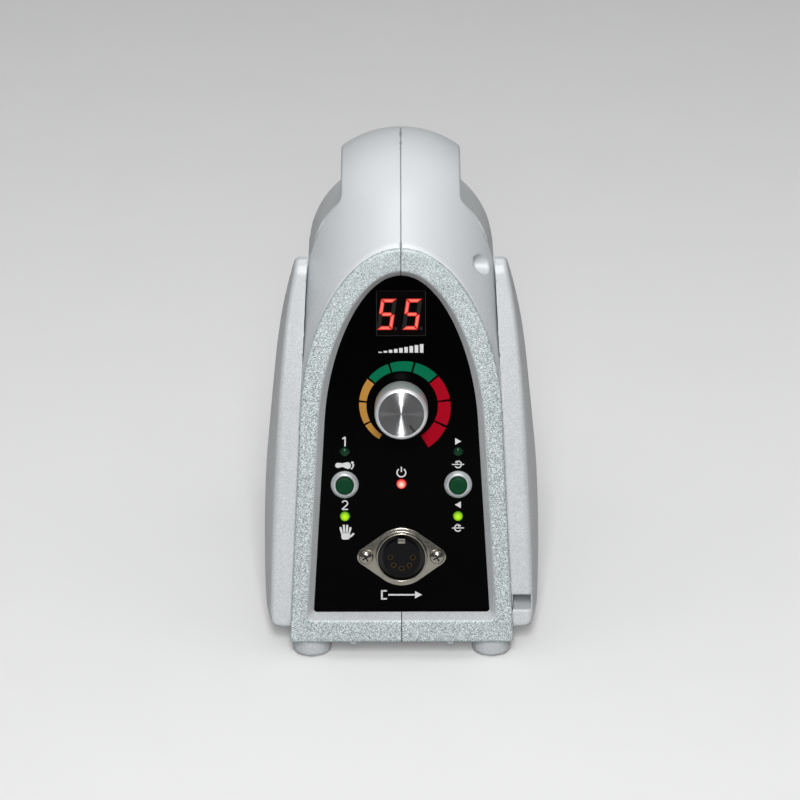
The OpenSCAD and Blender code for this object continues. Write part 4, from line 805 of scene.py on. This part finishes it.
signs = [(ramp, 0, 84.9, 1.0), (numeralOne, -17.65, 55.2, 1.15), (numeralTwo, -17.65, 34.7, 1.15),
         ([forward], 17.65, 55.2, 1.0), ([forward * [-1, 1]], 17.65, 34.8, 1.0), (power, 0, 45.2, 1.0),
         (sole, -17.8, 47.6, 1.2), (hand, -17.5, 25.9, 1.3), (turnSign(1), 17.65, 47.8, 1.1),
         (turnSign(-1), 17.65, 27.3, 1.1), (outArrow, 0, 5.6, 1.0)]  # shapes, their place and scale
flatOnPanel("signs", [shape * scale + [u, v] for shapes, u, v, scale in signs for shape in shapes], "white")
print("panel print made")

# push buttons: plated collar with fine ribs and a green cap, each a (radius, height) profile
button = {"u": 17.65, "v": 41.5, "ribs": 36, "wave": 0.06, "sharp": 35,
          "collar": [[2.82, -1.0], [2.82, 1.35], [2.95, 1.55], [3.3, 1.6], [3.55, 1.5], [4.05, 0.95],
                     [4.3, 0.7], [4.3, 0.06]],
          "ribbed": [0, 0, 0, 0, 0, 0.5, 1, 1],
          "cap": [[2.7, -0.6], [2.7, 2.75], [2.62, 2.95], [2.4, 3.07], [1.8, 3.1], [0.0, 3.12]]}


def ribbedCollar(u):  # profile turned about the button's axis, its outer wall waved by the ribs
    r, h = np.array(button["collar"]).T[:, :, None]
    turn = fullTurn(button["ribs"] * 6)
    r = r + button["wave"] * np.cos(button["ribs"] * turn) * np.array(button["ribbed"])[:, None]
    return aroundAxis(u, button["v"], r, h, turn), gridFaces(len(r), len(turn), True)


# lamps: small domes above and below each button, and one for power
lamp = {"r": 1.45, "rise": 10.4, "skirt": -1.0, "seat": 0.05, "dome": 0.54, "steps": 32}
dome = [[lamp["r"], lamp["skirt"]]] + [[lamp["r"] * cos(t), lamp["seat"] + lamp["dome"] * lamp["r"] * sin(t)]
                                       for t in np.linspace(0, pi / 2, 10)]
sides = ((-button["u"], "mode"), (button["u"], "direction"))
for u, node in sides:
    made = addPiece(node + "Collar", *ribbedCollar(u), "satin", stands=[node + "_collar"], slotName="nickel")
    sharpen(made, button["sharp"])
    spinOnPanel(node + "Cap", u, button["v"], button["cap"], "greenCap", bodyName=node + "_key",
                stands=[node + "_button"], slotName="button_green")
for u, node in sides:
    spinOnPanel(node + "LampUpper", u, button["v"] + lamp["rise"], dome, "ledOff", lamp["steps"],
                slotName="lamp_green")
    spinOnPanel(node + "LampLower", u, button["v"] - lamp["rise"], dome, "ledGreen", lamp["steps"],
                stands=[node + "_leds"], slotName="lamp_green")
spinOnPanel("powerLamp", 0, button["v"], dome, "ledRed", lamp["steps"], stands=["power_led"],
            slotName="lamp_red")
print("controls made")

# output socket: plated flange and ring, a dark floor ring as painted shade of the gap round the insert,
# plated key tab and domed cross-head screws
# ring and rim hold steps from the bore and from the flange's outline, each with its height
socket = {"v": 18.3, "pitch": 22.2, "flangeR": 9.4, "earR": 2.9, "boreR": 7.35, "insertR": 5.7, "floor": -1.0,
          "ring": ((0, -2.0), (0, 2.2), (0.07, 2.36), (0.2, 2.42), (0.37, 2.42), (0.5, 2.36), (0.57, 2.2),
                   (0.6, 1.45), (0.7, 1.27), (0.95, 1.2)),
          "rim": ((-0.4, 1.2), (-0.13, 1.13), (-0.03, 1.0), (0, 0.8), (0, 0.02)), "steps": 360, "sharp": 50,
          "face": 2.62, "keyHalf": 1.1, "keyAt": 5.5, "keyParts": ((-0.8, -0.05), (0.2, 0.7)), "headR": 2.3,
          "headFoot": 1.2, "headSide": 1.5, "headTop": 2.6, "headSteps": 40, "cross": (1.35, 0.24),
          "crossTurn": 0.5, "lift": 0.01}


def flangeReach(turn):
    # distance to the flange's outline by the angle from its long axis: ear circle, common tangent or
    # middle circle
    t = np.arctan2(np.abs(np.sin(turn)), np.abs(np.cos(turn)))
    far = socket["pitch"] / 2
    touch = np.arccos((socket["flangeR"] - socket["earR"]) / far)
    earEnd = np.arctan2(socket["earR"] * sin(touch), far + socket["earR"] * cos(touch))
    ear = far * np.cos(t) + np.sqrt(np.maximum(socket["earR"] ** 2 - (far * np.sin(t)) ** 2, 0))
    return np.where(t < earEnd, ear,
                    np.where(t < touch, socket["flangeR"] / np.cos(t - touch), socket["flangeR"]))


turn = fullTurn(socket["steps"])
r = np.array([np.full(len(turn), socket["boreR"] + out) for out, _ in socket["ring"]]
             + [flangeReach(turn) + out for out, _ in socket["rim"]])
h = np.array([high for _, high in socket["ring"] + socket["rim"]])[:, None]
made = addPiece("socketFlange", aroundAxis(0, socket["v"], r, h, turn), gridFaces(len(r), len(turn), True),
                "nickel", stands=["socket_shell"], slotName="nickel")
sharpen(made, socket["sharp"])
# flat ring at the bore's floor, near black: painted shade of the deep gap round the insert
spinOnPanel("socketGapShade", 0, socket["v"],
            [[socket["boreR"] + socket["lift"], socket["floor"]], [socket["insertR"], socket["floor"]]],
            "paintedShade", slotName="black_plastic")
w, at = socket["keyHalf"], socket["v"] + socket["keyAt"]
flatOnPanel("socketKey", [box(-w, at + low, w, at + high) for low, high in socket["keyParts"]], "nickel",
            socket["face"])
headR, headSide, headTop = socket["headR"], socket["headSide"], socket["headTop"]
head = [[headR, socket["headFoot"]], [headR, headSide]]
head += [[headR * cos(t), headSide + (headTop - headSide) * sin(t)] for t in np.linspace(0, pi / 2, 9)[1:-1]]
c, s = cos(socket["crossTurn"]), sin(socket["crossTurn"])
reach, half = socket["cross"]
cross = [bar @ np.array([[c, s], [-s, c]])
         for bar in (box(-reach, -half, reach, half), box(-half, -reach, half, reach))]
for name, side, stands in (("leftSocketScrew", -1, ()), ("rightSocketScrew", 1, ["socket_screws"])):
    u = side * socket["pitch"] / 2
    spinOnPanel(name, u, socket["v"], head + [[0, headTop]], "nickel", socket["headSteps"], stands=stands,
                slotName="screw_steel")
    # the cross recess is not cut: flat dark bars on the head stand for its shade, painted shade
    flatOnPanel(name + "CrossShade", [bar + [u, socket["v"]] for bar in cross], "paintedShade", headTop + socket["lift"])

# solids with softened edges: a merged copy with a bevel stands for the solid
softened = {"rear_panel": 0.3, "mains_inlet": 0.3, "switch_body": 0.3, "fuse_cap": 0.25,
            "pedal_jack_nut": 0.15, "power_rocker": 0.3}  # width of the bevel
for name, width in softened.items():
    finishName, slotName = ("nickel", "nickel") if name == "pedal_jack_nut" else ("black", "black_plastic")
    made = placed(name + "Soft", nodes[name].data.copy())
    work = bmesh.new()
    work.from_mesh(made.data)
    bmesh.ops.remove_doubles(work, verts=work.verts, dist=1e-6)
    bmesh.ops.dissolve_limit(work, angle_limit=radians(1), verts=work.verts, edges=work.edges)
    work.to_mesh(made.data)
    work.free()
    made.data.materials.clear()
    made.data.materials.append(finishes[finishName])
    bevel = made.modifiers.new("bevel", "BEVEL")
    bevel.width, bevel.segments, bevel.limit_method, bevel.angle_limit = width * mm, 2, "ANGLE", radians(35)
    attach(made, "rocker" if name == "power_rocker" else "unit")
    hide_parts(name)

# finishes of the solids that stay
cadFinish = {
    "steel": ["housing_screws", "cover_screws", "board_screws", "main_board_screws", "transformer_screws",
              "inlet_screws"],
    "nickel": ["board_spacers", "potentiometer_nut", "potentiometer_shaft", "transformer_strap"],
    "black": ["potentiometer_body", "knob_core", "mode_switch", "direction_switch", "bridge_rectifier",
              "power_transistor", "fuse_holder", "pedal_jack"],
    "pcb": ["control_board", "main_board"], "bobbin": ["wire_headers", "transformer_bobbin"],
    "insert": ["socket_insert"], "contactShade": ["socket_contacts"], "rubber": ["foot_pads"],
    "panel": ["front_panel"], "displayFace": ["display_module"], "brass": ["inlet_pins"],
    "sleeve": ["filter_capacitors"], "sink": ["heat_sink"], "iron": ["transformer_core"],
    "winding": ["transformer_winding"], "glass": ["fuse_link"]}
for finishName, names in cadFinish.items():
    for name in names:
        nodes[name].data.materials.clear()
        nodes[name].data.materials.append(finishes[finishName])

# stage: pale floor, soft lights, camera at the picture's angle; metres from here on
stage = {"elevation": 24.5, "distance": 1.2, "pixelsPerMm": 3.235, "picture": 800, "sensor": 36,
         "lookV": 78.3, "roll": -0.13, "shiftPixels": -1.2, "floorHalf": 3.0, "floorFront": -2.0,
         "bendAt": 0.9, "bendR": 0.6, "wallTop": 3.0, "world": (0.8, 0.81, 0.83, 1.0), "worldStrength": 0.1}
look = Vector(onBezel(0, stage["lookV"], 0) * mm)
e = radians(stage["elevation"])
camera = placed("camera", bpy.data.cameras.new("camera"))
camera.location = look - stage["distance"] * Vector((0, cos(e), -sin(e)))
camera.rotation_euler = (pi / 2 - e, 0, 0)
camera.rotation_euler.rotate_axis("Z", radians(stage["roll"]))
camera.data.shift_x = stage["shiftPixels"] / stage["picture"]
camera.data.sensor_width = stage["sensor"]
camera.data.lens = stage["sensor"] * stage["pixelsPerMm"] * stage["distance"] / mm / stage["picture"]
camera.data.clip_start, camera.data.clip_end = 0.05, 50
bpy.context.scene.camera = camera


def floorPaint(place):  # pale to the camera and in mirrors, and greyer as a source of bounced light
    direct, glossy, through = [place.node("ShaderNodeLightPath", None, name)
                               for name in ("Is Camera Ray", "Is Glossy Ray", "Is Transmission Ray")]
    seen = direct.calc("MAXIMUM", glossy.calc("MAXIMUM", through))
    pale = place.noise(40.0, 3.0).mix((0.80, 0.80, 0.80), (0.83, 0.83, 0.83))
    return {"Base Color": seen.mix((0.22, 0.22, 0.22), pale),
            "Emission Color": direct.mix((0, 0, 0), (0.14, 0.14, 0.14))}


t = np.linspace(0, pi / 2, 24)
bend = np.stack([stage["bendAt"] + stage["bendR"] * np.sin(t), stage["bendR"] * (1 - np.cos(t))], -1)
run = np.concatenate([[[stage["floorFront"], 0.0]], bend, [[bend[-1, 0], stage["wallTop"]]]])
pale = {"Roughness": 0.7, shine: 0.2, "Emission Strength": 1.0}
placedMesh("floor", ribbon(run, stage["floorHalf"]), gridFaces(len(run), 2)[:, ::-1],
                    finish("paleFloor", pale, floorPaint))


def softLight(name, place, target, size, watts):
    data = bpy.data.lights.new(name, "AREA")
    data.shape, data.size, data.size_y, data.energy = "RECTANGLE", size[0], size[1], watts
    made = placed(name, data)
    made.location = place
    made.rotation_euler = (Vector(target) - Vector(place)).to_track_quat("-Z", "Y").to_euler()


softLight("key", (0, -1.25, 1.0), (0, -0.02, 0.09), (0.3, 0.8), 18.0)
softLight("overhead", (0, 0.05, 0.8), (0, 0.05, 0), (1.6, 0.8), 3.2)
world = bpy.data.worlds.new("studio")
bpy.context.scene.world = world
world.use_nodes = True
world.node_tree.nodes["Background"].inputs["Color"].default_value = stage["world"]
world.node_tree.nodes["Background"].inputs["Strength"].default_value = stage["worldStrength"]
bpy.context.scene.view_settings.view_transform = "Standard"

print("stage set")
